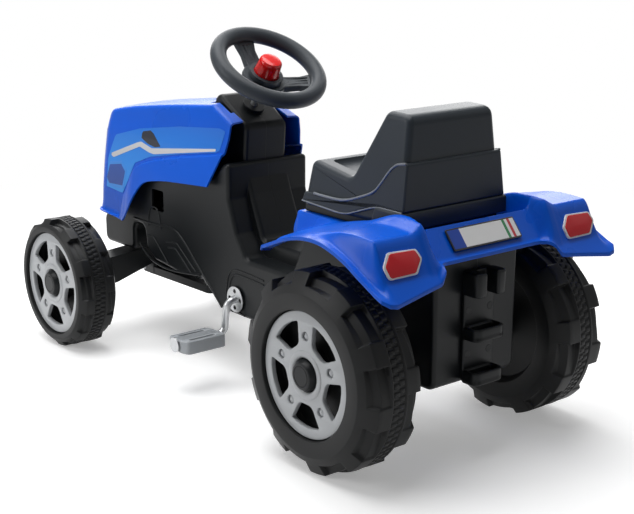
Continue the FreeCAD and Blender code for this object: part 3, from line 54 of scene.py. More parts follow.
camera_place = Vector((1.2402, 1.6027, 0.7345))
camera_azimuth = math.radians(140.88)
camera_elevation = math.radians(14.84)
bpy.ops.object.camera_add(location=camera_place)
camera = bpy.context.object
camera.rotation_euler = (math.pi / 2 - camera_elevation, 0, camera_azimuth)
camera.data.sensor_fit = "HORIZONTAL"
camera.data.sensor_width = 36
camera.data.lens = focal_pixels / image_width * camera.data.sensor_width
scene.camera = camera


class Wire:
    """One output of a node in a material; arithmetic on it adds Math nodes."""

    def __init__(self, tree, socket=None):
        self.tree = tree
        self.socket = socket

    def node(self, kind, settings, inputs, out=0):
        """Adds a node, sets it up, feeds its inputs and gives back one of its outputs."""
        made = self.tree.nodes.new("ShaderNode" + kind)
        for key, value in settings.items():
            setattr(made, key, value)
        for key, value in inputs.items():
            if isinstance(value, Wire):
                self.tree.links.new(value.socket, made.inputs[key])
            else:
                made.inputs[key].default_value = value
        return Wire(self.tree, made.outputs[out] if made.outputs else None)

    def maths(self, operation, first, second):
        return self.node("Math", {"operation": operation}, {0: first, 1: second})

    def blend(self, share, first, second):
        """A colour between two colours."""
        return self.node("Mix", {"data_type": "RGBA"}, {0: share, 6: first, 7: second}, 2)

    def noise(self, place, scale, detail):
        return self.node("TexNoise", {}, {"Vector": place, "Scale": scale, "Detail": detail})

    def __add__(self, other):
        return self.maths("ADD", self, other)

    def __mul__(self, other):
        return self.maths("MULTIPLY", self, other)

    def __gt__(self, other):
        return self.maths("GREATER_THAN", self, other)

    def __lt__(self, other):
        return self.maths("LESS_THAN", self, other)

    __radd__ = __add__
    __rmul__ = __mul__


def blank_tree(owner):
    """Empties the node tree of a material or a world, ready for its own nodes."""
    owner.use_nodes = True
    owner.node_tree.nodes.clear()
    return Wire(owner.node_tree)


def ray(tree, kind):
    """1 for one kind of light ray."""
    return tree.node("LightPath", {}, {}, f"Is {kind} Ray")


def seen_ray(tree):
    """1 for camera, mirror and glass rays, which should meet the white surround."""
    direct = tree.maths("MAXIMUM", ray(tree, "Camera"), ray(tree, "Glossy"))
    return tree.maths("MAXIMUM", direct, ray(tree, "Transmission"))


white = (1, 1, 1, 1)
fill_strength = 0.08
mirrored_strength = 0.45
surround = bpy.data.worlds.new("studio_surround")
scene.world = surround
tree = blank_tree(surround)
soft_fill = tree.node("Background", {}, {"Color": white, "Strength": fill_strength})
wall_strength = ray(tree, "Camera") * (1 - mirrored_strength) + mirrored_strength
white_wall = tree.node("Background", {}, {"Color": white, "Strength": wall_strength})
walls = tree.node("MixShader", {}, {0: seen_ray(tree), 1: soft_fill, 2: white_wall})
tree.node("OutputWorld", {}, {"Surface": walls})

floor_size = 30.0
floor_glow = 0.3
fade_start = 0.7
fade_end = 1.7
bpy.ops.object.select_all(action="DESELECT")
bpy.ops.mesh.primitive_plane_add(size=floor_size)
floor = bpy.context.object
floor.name = "studio_floor"
floor_paint = bpy.data.materials.new("pale_floor")
tree = blank_tree(floor_paint)
matt = tree.node("BsdfDiffuse", {}, {"Color": (0.9, 0.9, 0.9, 1)})
glow = tree.node("Emission", {}, {"Color": white, "Strength": seen_ray(tree) * floor_glow})
near_floor = tree.node("AddShader", {}, {0: matt, 1: glow})
far_floor = tree.node("Emission", {}, {"Color": white, "Strength": seen_ray(tree)})
floor_place = tree.node("TexCoord", {}, {}, "Object")
reach = tree.node("VectorMath", {"operation": "LENGTH"}, {0: floor_place}, "Value")
fade = tree.node("MapRange", {"interpolation_type": "SMOOTHSTEP"},
                 {0: reach, 1: fade_start, 2: fade_end})
mixed = tree.node("MixShader", {}, {0: fade, 1: near_floor, 2: far_floor})
tree.node("OutputMaterial", {}, {"Surface": mixed})
floor.data.materials.append(floor_paint)


def softbox(name, place, width, height, power):
    """A square lamp that points at the middle of the tractor."""
    bpy.ops.object.light_add(type="AREA", location=place)
    lamp = bpy.context.object
    lamp.name = name
    lamp.data.shape = "RECTANGLE"
    lamp.data.size = width
    lamp.data.size_y = height
    lamp.data.energy = power
    lamp.visible_camera = False
    target = Vector((0, 0, 0.25))
    lamp.rotation_euler = (target - Vector(place)).to_track_quat("-Z", "Y").to_euler()


softbox("top_lamp", (0.1, -0.3, 2.2), 2.0, 2.0, 58)
softbox("left_lamp", (2.2, -1.0, 1.3), 1.4, 1.4, 24)
softbox("back_lamp", (-1.6, -2.0, 1.5), 3.2, 1.8, 52)
softbox("right_lamp", (-1.8, 1.4, 1.6), 1.2, 1.2, 1.5)


# Chassis: two black moulded halves screwed together at the middle, with the steering column moulded on.
# Ribs stand up on each side: the edge of the main panel, the skid panel's stiffeners and the crank's rim.
mm = 0.001
sides = (("left", 1), ("right", -1))
rear_axle_y = next(joint["pos_m"][1] for joint in frame["joints"] if joint["name"] == "rear_axle_turn")
mould_radius = 0.0013
chassis_half = 80
rib_sunk = 0.4
rib_lines = {
    "panel_edge": (2.2, [(-664, 214), (-603, 214), (-550, 219), (-518, 213), (-457, 160), (-430, 139),
                         (-398, 112)]),
    "skid_edge": (2.0, [(-648, 172), (-634, 158), (-607, 147), (-566, 142), (-514, 145), (-460, 153)]),
    "skid_rib_front": (1.6, [(-621, 191), (-604, 192), (-596, 186), (-556, 151)]),
    "skid_rib_back": (1.6, [(-561, 190), (-531, 196), (-521, 188), (-473, 156)]),
    "skid_rib_inner": (1.6, [(-556, 181), (-536, 185), (-528, 180), (-486, 150)]),
    "crank_rim": (1.8, [(-283, 175), (-340, 178), (-366, 176), (-378, 149), (-376, 126), (-362, 117),
                        (-335, 112)]),
    "crank_rim_outer": (1.8, [(-283, 182), (-345, 186), (-373, 182), (-385, 150), (-383, 123), (-368, 112)]),
    "window_rim": (1.5, [(-616, 209), (-616, 245), (-577, 245), (-577, 209)]),
}


def new_material(name, mapping="Object"):
    """A material with an empty node tree, and the coordinates that its pattern lies on."""
    material = bpy.data.materials.new(name)
    tree = blank_tree(material)
    return material, tree, tree.node("TexCoord", {}, {}, mapping)


def fine_bumps(tree, height, strength, depth):
    """Fine bumps, and the small radius that a mould leaves on every edge."""
    edge = tree.node("Bevel", {"samples": 4}, {"Radius": mould_radius})
    return tree.node("Bump", {}, {"Height": height, "Strength": strength, "Distance": depth,
                                  "Normal": edge})


def surface(tree, sockets):
    """Ends a material with its shader."""
    shader = tree.node("BsdfPrincipled", {}, sockets)
    tree.node("OutputMaterial", {}, {"Surface": shader})


def moulded(name, colour, roughness, grain=0.25, grain_size=900.0, coat=0.0, shine=0.2):
    """Injection-moulded plastic: a fine even grain, faint cloudy colour and a little uneven gloss."""
    material, tree, place = new_material(name)
    cloud = tree.noise(place, 9.0, 3.0)
    dark, light = ((*(c * share for c in colour), 1) for share in (0.9, 1.1))
    surface(tree, {"Base Color": tree.blend(cloud, dark, light),
                   "Roughness": cloud * 0.12 + (roughness - 0.06),
                   "Normal": fine_bumps(tree, tree.noise(place, grain_size, 2.0), grain, 0.0002),
                   "Coat Weight": coat, "Coat Roughness": 0.12, "Specular IOR Level": shine})
    return material


def paint(material, *names):
    """Gives CAD nodes that show as they are their material."""
    for name in names:
        node = frame["nodes"][name]
        node.data.materials.clear()
        node.data.materials.append(material)


def spot(across, back, height):
    """A place in metres, from millimetres off the middle, behind the rear axle and above the floor."""
    return Vector((across * mm, rear_axle_y + back * mm, height * mm))


def only(piece):
    """Makes one piece the selected and active one."""
    bpy.ops.object.select_all(action="DESELECT")
    piece.select_set(True)
    bpy.context.view_layer.objects.active = piece


def dress(piece, material, body, slot, *nodes):
    """Gives a new piece its material, the body it rides on and the nodes it stands for; the slot is not used.
    """
    piece.data.materials.append(material)
    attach(piece, body)
    if nodes:
        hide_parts(*nodes)


def add_line(curve, kind, points, closed=False):
    """Adds a line through some points to a curve."""
    line = curve.splines.new(kind)
    line.points.add(len(points) - 1)
    for knot, point in zip(line.points, points):
        knot.co = (*point, 1)
    line.use_cyclic_u = closed
    return line


def mesh_of(name, curve):
    """Turns a curve into a mesh piece."""
    piece = bpy.data.objects.new(name, curve)
    scene.collection.objects.link(piece)
    only(piece)
    bpy.ops.object.convert(target="MESH")
    return bpy.context.object


def tube(name, points, radius):
    """A round bead along a smooth line, as a mesh."""
    curve = bpy.data.curves.new(name, "CURVE")
    curve.dimensions = "3D"
    curve.bevel_depth = radius * mm
    curve.bevel_resolution = 2
    curve.use_fill_caps = True
    line = add_line(curve, "NURBS", points)
    line.order_u = 3
    line.use_endpoint_u = True
    piece = mesh_of(name, curve)
    bpy.ops.object.shade_smooth()
    return piece


black_plastic = moulded("black_chassis_plastic", (0.0065, 0.0078, 0.0090), 0.36)
paint(black_plastic, "chassis_left", "chassis_right")
for side, sign in sides:
    for rib, (radius, line) in rib_lines.items():
        places = [spot(sign * (chassis_half - rib_sunk), *point) for point in line]
        dress(tube(f"{rib}_{side}", places, radius), black_plastic, "chassis", "chassis_black")


# Front axle and running gear: a moulded axle beam, zinc-plated rods, chain and screws, and nylon bushes.
# They are plain shapes, so the solids themselves show.
paint(black_plastic, "front_axle", "hitch_screws", "column_collar", "lower_bush", "thrust_washer")
paint(moulded("bush_nylon", (0.03, 0.03, 0.03), 0.45), "rear_bushes", "crank_bushes", "rear_spacers")
zinc_steel, tree, place = new_material("zinc_steel")
gloss = tree.noise(place, 120.0, 4.0) * 0.25 + 0.22
scratches = fine_bumps(tree, tree.noise(place, 1500.0, 2.0), 0.15, 0.0001)
surface(tree, {"Base Color": (0.5, 0.51, 0.52, 1), "Metallic": 1.0, "Roughness": gloss, "Normal": scratches})
paint(zinc_steel, "chassis_screws", "deck_screws", "seat_bolts", "bonnet_hinge_pins", "steering_cross_pin",
      "horn_spring", "steering_rod", "front_axle_stubs", "front_axle_clips", "kingpin", "kingpin_nut",
      "rear_axle_rod", "rear_axle_clips", "rear_sprocket", "rear_sprocket_pin", "drive_pin", "crank",
      "crank_sprocket", "crank_sprocket_pin", "crank_plates", "chain", "pedal_clips")


# Tyres: hollow blow-moulded wheels of matt black plastic, tyre and hub in one piece.
# Ten pockets with ramped floors are sunk in each half of the tread, with two rows of fine ribs between.
tyre_plastic = moulded("tyre_black_plastic", (0.0115, 0.0120, 0.0125), 0.44, grain=0.35, grain_size=700.0)
tyre_steps = 240
pocket_count = 10
pocket_steps = 15
pocket_depth = 0.0085
pocket_wall = 0.0018
pocket_rim = 0.0025
ramp_share = 0.75
chamfer_share = 0.4
rib_rise = 0.0022
rib_height = 0.00176
rib_wall = 0.0009
rib_slope = 0.0014
rib_period = 3
band_half = 0.011
trim_seat = 0.012
outer_web = 0.028
inner_web = 0.014
web_draft = 0.0035
bead_radius = 0.0895
bead_wall = 0.007
hub_radius = 0.0295
bore_radius = 0.0062


def open_whole(piece):
    """Opens a piece for editing with all of it selected."""
    only(piece)
    bpy.ops.object.mode_set(mode="EDIT")
    bpy.ops.mesh.select_all(action="SELECT")


def end_edit():
    bpy.ops.object.mode_set(mode="OBJECT")


def close_up(gap=0):
    """Merges points that lie closer than a gap, turns the faces outwards and ends the editing."""
    bpy.ops.mesh.select_all(action="SELECT")
    if gap:
        bpy.ops.mesh.remove_doubles(threshold=gap)
    bpy.ops.mesh.normals_make_consistent(inside=False)
    end_edit()


def lathe(name, points, centre, steps, closed):
    """A section in (x, reach from the axle), turned right round the axle."""
    curve = bpy.data.curves.new(name, "CURVE")
    curve.dimensions = "3D"
    add_line(curve, "POLY", [(x, centre.y, centre.z + reach) for x, reach in points], closed)
    piece = mesh_of(name, curve)
    open_whole(piece)
    bpy.ops.mesh.spin(steps=steps, angle=math.tau, center=centre, axis=(1, 0, 0))
    close_up(0.00001)
    return piece


def pick_faces(piece, wanted):
    """Selects just the faces whose centre passes a test, and opens the piece for editing."""
    open_whole(piece)
    bpy.ops.mesh.select_mode(type="FACE")
    bpy.ops.mesh.select_all(action="DESELECT")
    end_edit()
    for face in piece.data.polygons:
        face.select = wanted(face.center)
    bpy.ops.object.mode_set(mode="EDIT")


def apply_modifier(piece, kind, **settings):
    """Puts a modifier on a piece and applies it."""
    only(piece)
    modifier = piece.modifiers.new(kind, kind)
    for key, value in settings.items():
        setattr(modifier, key, value)
    bpy.ops.object.modifier_apply(modifier=modifier.name)


def smooth(piece, sharp):
    """Shades a piece smooth, apart from edges sharper than an angle in degrees."""
    only(piece)
    bpy.ops.object.shade_smooth_by_angle(angle=math.radians(sharp))


def round_edges(piece, width, sharp=35):
    """Rounds the piece's sharp edges and smooths the rest."""
    apply_modifier(piece, "BEVEL", width=width, segments=2, limit_method="ANGLE",
                   angle_limit=math.radians(sharp))
    smooth(piece, sharp)


def tyre(name, node, sidewall_radius, shoulder):
    """A left wheel: a section turned about the axle, with pockets sunk in the tread and ribs raised on it."""
    low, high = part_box(node)
    centre = (low + high) / 2
    radius = (high.z - low.z) / 2
    face = (high.x - low.x) / 2
    middle = low.x + face
    near = band_half + pocket_rim
    half = [(near + (face - shoulder - near) * share, radius) for share in (1, 0.66, 0.33, 0)]
    half += [(band_half, radius), (band_half - rib_slope, radius - rib_rise)]
    chamfer = sidewall_radius + (radius - sidewall_radius) * chamfer_share
    edge = face - shoulder * chamfer_share
    section = [(face - trim_seat, bore_radius), (face - trim_seat, hub_radius),
               (face - outer_web, hub_radius + web_draft),
               (face - outer_web, bead_radius - bead_wall - web_draft),
               (face - trim_seat, bead_radius - bead_wall), (face - trim_seat, bead_radius),
               (face - 0.001, bead_radius), (face, bead_radius + 0.001), (face, sidewall_radius),
               (edge, chamfer)]
    section += half + [(0, radius - rib_rise)] + [(-u, r) for u, r in reversed(half)]
    section += [(-edge, chamfer), (-face, sidewall_radius), (-face, bead_radius),
                (-face + inner_web, bead_radius - bead_wall), (-face + inner_web, hub_radius),
                (-face, hub_radius - web_draft), (-face, bore_radius)]
    piece = lathe(name, [(middle + u, r) for u, r in section], centre, tyre_steps, True)
    pitch = tyre_steps // pocket_count

    def reach_of(point):
        return math.hypot(point.y - centre.y, point.z - centre.z)

    def step_of(point, shift):
        turn = math.atan2(point.y - centre.y, point.z - centre.z) / math.tau
        return (turn % 1) * tyre_steps + shift

    def along_pocket(point):
        """Steps past the start of a pocket; the halves of the tread are half a pitch apart."""
        return step_of(point, 0 if point.x > middle else pitch / 2) % pitch

    def in_pocket(point):
        on_tread = abs(point.x - middle) > near and reach_of(point) > chamfer
        return on_tread and along_pocket(point) < pocket_steps

    def on_rib(point, row, shift):
        in_row = 0 < (point.x - middle) * row < band_half - rib_slope
        return in_row and reach_of(point) > radius - 0.004 and step_of(point, shift) % rib_period > 1

    pick_faces(piece, in_pocket)
    bpy.ops.mesh.inset(thickness=pocket_wall, depth=-pocket_depth, use_even_offset=True)
    end_edit()
    for vertex in piece.data.vertices:
        if vertex.select:
            share = min(along_pocket(vertex.co) / pocket_steps, 1)
            arm = Vector((0, vertex.co.y - centre.y, vertex.co.z - centre.z)).normalized()
            vertex.co += arm * pocket_depth * ramp_share * share
    for row, shift in ((1, 0), (-1, 1)):
        pick_faces(piece, lambda point: on_rib(point, row, shift))
        bpy.ops.mesh.inset(thickness=rib_wall, depth=rib_height, use_even_offset=True)
        end_edit()
    round_edges(piece, 0.001, sharp=20)
    return piece


def twin(piece, name):
    """The same piece for the other side of the tractor, with a mesh of its own."""
    copy = piece.copy()
    copy.data = piece.data.copy()
    copy.name = name
    scene.collection.objects.link(copy)
    open_whole(copy)
    bpy.ops.transform.resize(value=(-1, 1, 1), center_override=(0, 0, 0))
    bpy.ops.mesh.flip_normals()
    end_edit()
    return copy


wheel_bodies = {f"{end}_{side}": f"{end}_wheel_{side}" for end in ("front", "rear") for side, sign in sides}
wheel_bodies["rear_left"] = "rear_drive"


def dress_both(left, end, kind, material, slot):
    """Dresses a left wheel's piece and its twin on the right, in place of their nodes."""
    right = twin(left, left.name.replace("left", "right"))
    for side, piece in (("left", left), ("right", right)):
        dress(piece, material, wheel_bodies[f"{end}_{side}"], slot, f"{end}_{kind}_{side}")


for end, sidewall_radius, shoulder in (("rear", 0.1125, 0.014), ("front", 0.099, 0.009)):
    left_tyre = tyre(f"{end}_tyre_left", f"{end}_wheel_left", sidewall_radius, shoulder)
    dress_both(left_tyre, end, "wheel", tyre_plastic, "wheel_black")


# Wheel trims: silver-grey moulded covers pressed into the tyres, with five windows and a dimple on each arm.
# A black cap snaps over the axle's end and clip in the middle of each.
trim_plastic = moulded("trim_grey_plastic", (0.40, 0.415, 0.43), 0.32, grain=0.15, shine=0.5)
trim_radius = 88
trim_hole = 24
trim_thickness = 7.5
trim_inset = 0.0015
window_count = 5
window_outer = 74
window_inner = 43
dimple_reach = 54
dimple_radius = 6.5
dimple_inset = 0.0085
hub_ring = [(-0.002, 0.0245), (0.0008, 0.0255), (0.0015, 0.0275), (0.0015, 0.0315), (0.0008, 0.0335),
            (-0.002, 0.0345)]
cap_line = [(-0.008, 0.0226), (-0.0022, 0.0196), (-0.0006, 0.0186), (0, 0.0170), (0, 0.0150),
            (-0.0006, 0.0146), (-0.0006, 0.0136), (0, 0.0132), (0, 0.0)]


def rounded(corners, steps=6):
    """The points of a flat outline whose corners, each (x, y, radius), are rounded."""
    points = []
    for i, (x, y, radius) in enumerate(corners):
        here = Vector((x, y))
        before = Vector(corners[i - 1][:2]) - here
        after = Vector(corners[(i + 1) % len(corners)][:2]) - here
        half_angle = before.angle(after) / 2
        reach = min(radius / math.tan(half_angle), before.length * 0.49, after.length * 0.49)
        start = here + before.normalized() * reach
        end = here + after.normalized() * reach
        for step in range(steps + 1):
            t = step / steps
            points.append(tuple(start * (1 - t) ** 2 + here * 2 * t * (1 - t) + end * t ** 2))
    return points


def round_points(x, y, radius, steps):
    """The points of a circle."""
    turns = [math.tau * i / steps for i in range(steps)]
    return [(x + radius * math.cos(turn), y + radius * math.sin(turn)) for turn in turns]


def plate(name, loops, thickness, edge):
    """A flat plate in the XY plane from its outlines and holes, with rounded edges; all in millimetres."""
    curve = bpy.data.curves.new(name, "CURVE")
    curve.dimensions = "2D"
    curve.fill_mode = "BOTH"
    curve.extrude = (thickness / 2 - edge) * mm
    curve.bevel_depth = edge * mm
    curve.bevel_resolution = 2
    curve.offset = -edge * mm
    for points in loops:
        add_line(curve, "POLY", [(x * mm, y * mm, 0) for x, y in points], True)
    piece = mesh_of(name, curve)
    open_whole(piece)
    close_up(0.000005)
    smooth(piece, 35)
    return piece


def move_points(piece, place):
    """Puts each point of a piece where a function says."""
    for vertex in piece.data.vertices:
        vertex.co = place(vertex.co)


def joined(name, pieces):
    """Several meshes made one."""
    only(pieces[0])
    for piece in pieces:
        piece.select_set(True)
    bpy.ops.object.join()
    pieces[0].name = name
    return pieces[0]


def polar(reach, degrees, radius):
    """A corner at a distance and an angle from the middle."""
    angle = math.radians(degrees)
    return (reach * math.cos(angle), reach * math.sin(angle), radius)


def trim(name, node):
    """A left wheel's trim, from flat outlines, with its hub ring and dimples."""
    low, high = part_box(node)
    centre = (low + high) / 2
    face = high.x - trim_inset
    loops = [round_points(0, 0, trim_radius, 96), round_points(0, 0, trim_hole, 48)]
    domes = []
    for i in range(window_count):
        turn = -90 + 360 / window_count * i
        outer = [polar(window_outer, turn + angle, 3) for angle in (-23.5, -15, -5, 5, 15, 23.5)]
        inner = [polar(window_inner, turn + angle, 13) for angle in (18, -18)]
        loops.append(rounded(outer + inner))
        x, y, _ = polar(dimple_reach, turn + 180 / window_count, 0)
        loops.append(round_points(x, y, dimple_radius, 24))
        bpy.ops.mesh.primitive_uv_sphere_add(segments=20, ring_count=12, radius=dimple_radius * 1.02 * mm)
        dome = bpy.context.object
        bpy.ops.object.shade_smooth()
        move_points(dome, lambda co: (high.x - dimple_inset + co.x * 0.9, centre.y + x * mm + co.y,
                                      centre.z + y * mm + co.z))
        domes.append(dome)
    disc = plate(name, loops, trim_thickness, 1.2)
    disc_middle = face - trim_thickness / 2 * mm
    move_points(disc, lambda co: (disc_middle + co.z, centre.y + co.x, centre.z + co.y))
    hub = lathe(name + "_hub", [(face + out, reach) for out, reach in hub_ring], centre, 64, True)
    round_edges(hub, 0.0004)
    return joined(name, [disc, hub] + domes)


def cap(name, node):
    """A left wheel's hub cap: a tapered button with a rounded rim and a shallow ring on its face."""
    low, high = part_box(node)
    line = [(low.x, 0.0), (low.x, cap_line[0][1])] + [(high.x + out, reach) for out, reach in cap_line]
    piece = lathe(name, line, (low + high) / 2, 48, False)
    smooth(piece, 28)
    return piece


for end in ("rear", "front"):
    left_trim = trim(f"{end}_cover_left", f"{end}_trim_left")
    left_cap = cap(f"{end}_button_left", f"{end}_cap_left")
    dress_both(left_trim, end, "trim", trim_plastic, "trim_grey")
    dress_both(left_cap, end, "cap", black_plastic, "wheel_black")


# Deck: one blue injection moulding with the seat platform, both mudguards, the lamp pods and the plate panel.
# It is a 3 mm shell, screwed to the top of the chassis, and its free edges are turned down.
blue_plastic = moulded("blue_gloss_plastic", (0.0, 0.098, 0.64), 0.28, grain=0.12, grain_size=1100.0)
shell_wall = 0.003
platform_top = 317
platform_half = 98
panel_start = 84
panel_top = 340
panel_slope = 1.28
panel_lip = 298
fender_start = 110
pod_start = 118
fender_lip = 274
lip_slope = 0.95
hump_rise = 11
lamp_plane_top = 571.5
lamp_plane_slope = 2.1
lamp_recess = 1.2
lamp_surround = 2.6
crest_line = [(-185, 276), (-126, 300), (-60, 321), (3, 335), (62, 342), (112, 340), (160, 338)]
rim_line = [(-125, 286), (-107, 295), (-78, 307), (-47, 319), (-12, 327), (21, 328), (49, 322), (76, 312),
            (99, 300), (121, 289), (135, 282), (147, 277), (160, 268)]
front_line = [(0, -183), (98, -183), (110, -172), (120, -163), (170, -137), (212, -113), (222, -98)]
rear_line = [(0, 121), (92, 121), (99, 127), (106, 141), (114, 144), (160, 150), (204, 156), (214, 155),
             (222, 147)]
column_spread = [(0, 0), (0.16, 94), (0.40, 124), (0.66, 198), (0.88, 214), (0.97, 222), (1, 222)]
row_spread = [(0, 0), (0.46, 0.66), (1, 1)]
edge_turn = 0.97
rim_drop = 5
skirt_drop = 24
skirt_lean = 10
skirt_share = 0.07
lip_share = 0.97


def ease(start, end, place):
    """0 before start, 1 after end, and a smooth rise between them."""
    t = min(max((place - start) / (end - start), 0), 1)
    return t * t * (3 - 2 * t)


def mix(first, second, share):
    """A value between two others."""
    return first + (second - first) * share


def along(line, place):
    """Height of a smooth line through (place, height) points."""
    last = len(line) - 2
    i = max(0, min(last, sum(place > knot for knot, height in line) - 1))
    (start, height), (end, next_height) = line[i], line[i + 1]
    before = line[max(i - 1, 0)]
    after = line[min(i + 2, last + 1)]
    span = end - start
    rise = (next_height - before[1]) / (end - before[0]) * span
    fall = (after[1] - height) / (after[0] - start) * span
    t = min(max((place - start) / span, 0), 1)
    rest = 1 - t
    return (height * (1 + 2 * t) * rest ** 2 + rise * t * rest ** 2
            + next_height * t ** 2 * (3 - 2 * t) - fall * t ** 2 * rest)


def straight(line, place):
    """Height of a line of straight runs through (place, height) points."""
    for (start, height), (end, next_height) in zip(line, line[1:]):
        if place <= end:
            return mix(height, next_height, (place - start) / (end - start))
    return line[-1][1]


def soft_low(first, second, room):
    """The lower of two heights, with the corner between them rounded."""
    share = ease(-room, room, first - second)
    return mix(first, second, share) - room * share * (1 - share)


def lamp_plane(back):
    """Height of the plane that the tail lamps lie on, which faces back and up."""
    return lamp_plane_top - lamp_plane_slope * back


def deck_height(across, back):
    """Top of the deck, in millimetres, from the distance off the middle and behind the rear axle."""
    panel = soft_low(panel_top, panel_top - (back - panel_start) * panel_slope, 4)
    panel = -soft_low(-panel, -panel_lip, 4)
    middle = mix(platform_top, panel, ease(83, 87, back))
    crest = along(crest_line, back)
    rim = along(rim_line, back)
    beside_lamp = ease(203, 206, across) + 1 - ease(124, 129, across)
    lamp_face = lamp_plane(back) - lamp_recess + lamp_surround * beside_lamp
    hump = hump_rise * (1 - ease(112, 140, across)) * ease(-10, 60, back)
    lip = fender_lip + lip_slope * (151 - back) if back > 110 else 0
    top = mix(crest + hump, mix(rim, crest, ease(-50, 45, back)), ease(128, 190, across))
    pod = -soft_low(-soft_low(top, lamp_face, 12), -lip, 3)
    guard = mix(pod, rim, ease(200, 213, across))
    inner_end = mix(fender_start, pod_start, ease(70, 100, back))
    return mix(middle, guard, ease(platform_half, inner_end, across))


def sheet_of_faces(name, columns, rows, place):
    """A grid of faces whose points are put in place by a function of their two shares."""
    bpy.ops.object.select_all(action="DESELECT")
    bpy.ops.mesh.primitive_grid_add(x_subdivisions=columns, y_subdivisions=rows, size=1)
    piece = bpy.context.object
    piece.name = name
    for vertex in piece.data.vertices:
        vertex.co = place(vertex.co.x + 0.5, vertex.co.y + 0.5)
    return piece


def deck_point(share_across, share_back):
    """A point of the deck: across from side to side, and back from the front skirt to the turned-down lip."""
    off_middle = share_across * 2 - 1
    reach = abs(off_middle)
    across = straight(column_spread, reach)
    front = straight(front_line, across)
    rear = straight(rear_line, across)
    lean = skirt_lean * (1 - ease(100, 120, across))
    run = straight(row_spread, min(max((share_back - skirt_share) / (lip_share - skirt_share), 0), 1))
    back = mix(front + lean, rear, run)
    height = deck_height(across, back)
    if share_back < skirt_share:
        down = 1 - share_back / skirt_share
        back = front + lean * (1 - down)
        height -= down * mix(skirt_drop, rim_drop, ease(102, 112, across))
    elif share_back > lip_share:
        height -= rim_drop * (share_back - lip_share) / (1 - lip_share)
    else:
        height -= rim_drop * max(0, (reach - edge_turn) / (1 - edge_turn))
    return spot(math.copysign(across, off_middle), back, height)


deck_shell = sheet_of_faces("deck_shell", 180, 150, deck_point)
apply_modifier(deck_shell, "SOLIDIFY", thickness=shell_wall)
smooth(deck_shell, 50)
dress(deck_shell, blue_plastic, "chassis", "body_blue", "deck")


# Tail lamps: red lenses with a white border, stuck in shallow recesses of the lamp pods.
# Each is a thin moulded tablet with rounded edges, and its face is left plain.
lamp_middle = 168
lamp_corners = [(20, 117), (-28, 118), (-34, 124), (-19, 132), (29, 132), (33, 124.5)]
lamp_border = 3.2
red_plastic = moulded("red_lens_plastic", (0.64, 0.010, 0.018), 0.16, grain=0.05, coat=0.25)
white_plastic = moulded("white_print", (0.78, 0.78, 0.78), 0.3, grain=0.05)
out = Vector((0, lamp_plane_slope, 1)).normalized()
for side, sign in sides:
    places = [spot(lamp_middle * sign + x, back, lamp_plane(back)) for x, back in reversed(lamp_corners)]
    middle = sum(places, Vector()) / len(places)
    first = (places[0] - places[1]).normalized()
    second = out.cross(first)
    flat = [((place - middle).dot(first) / mm, (place - middle).dot(second) / mm) for place in places]
    shares = [1 - lamp_border / math.hypot(x, y) for x, y in flat]
    border_line = rounded([(x, y, 7) for x, y in flat])
    lens_line = rounded([(x * share, y * share, 5.5) for (x, y), share in zip(flat, shares)])

    def lift(co, rise):
        return middle + first * co.x + second * co.y + out * (co.z + rise)

    border = plate(f"lamp_border_{side}", [border_line], 3.0, 0.8)
    move_points(border, lambda co: lift(co, 0.0004))
    lens = plate(f"lamp_lens_{side}", [lens_line], 3.4, 1.2)
    move_points(lens, lambda co: lift(co, 0.0009))
    dress(border, white_plastic, "chassis", "plate_white")
    dress(lens, red_plastic, "chassis", "lamp_red", f"rear_lamp_{side}")


# Number plate: a printed plastic tablet stuck on the sloping rear panel, left without lettering.
# A dark edge runs round it, with a blue field at one end and two narrow bands at the other.
plate_half_width = 65
plate_half_height = 16
plate_edge = 2.2
plate_white = (0.8, 0.8, 0.8, 1)
plate_black = (0.01, 0.01, 0.01, 1)
plate_blue = (0.005, 0.05, 0.35, 1)
plate_bands = [(-41, plate_white), (40, (0.02, 0.22, 0.07, 1)), (45, plate_white),
               (50, (0.55, 0.02, 0.03, 1)), (55, plate_white)]


def box_corners(half_width, half_height, radius, y=0):
    """The corners of a rounded rectangle."""
    return [(half_width * right, y + half_height * up, radius)
            for right, up in ((-1, -1), (1, -1), (1, 1), (-1, 1))]


low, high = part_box("number_plate")
plate_middle = (low + high) / 2
plate_lean = math.atan2(high.y - low.y, high.z - low.z)
plate_up = Vector((0, -math.sin(plate_lean), math.cos(plate_lean)))
plate_out = Vector((0, math.cos(plate_lean), math.sin(plate_lean)))
tablet = plate("plate_tablet", [rounded(box_corners(plate_half_width, plate_half_height, 3))], 2.4, 0.6)
print_map = tablet.data.uv_layers.new(name="print")
print_map.active_render = True
for loop in tablet.data.loops:
    print_map.data[loop.index].uv = tablet.data.vertices[loop.vertex_index].co.xy / mm
move_points(tablet, lambda co: plate_middle - Vector((co.x, 0, 0)) + plate_up * co.y + plate_out * co.z)
plate_print, tree, place = new_material("plate_print", "UV")
across = tree.node("SeparateXYZ", {}, {0: place}, 0)
up = tree.node("SeparateXYZ", {}, {0: place}, 1)
shade = plate_blue
for start, colour in plate_bands:
    shade = tree.blend(across > start, shade, colour)
inside_x = tree.maths("ABSOLUTE", across, 0.0) < (plate_half_width - plate_edge)
inside_y = tree.maths("ABSOLUTE", up, 0.0) < (plate_half_height - plate_edge)
surface(tree, {"Base Color": tree.blend(inside_x * inside_y, plate_black, shade),
               "Roughness": tree.noise(place, 0.4, 2.0) * 0.1 + 0.25})
dress(tablet, plate_print, "chassis", "plate_white", "number_plate")


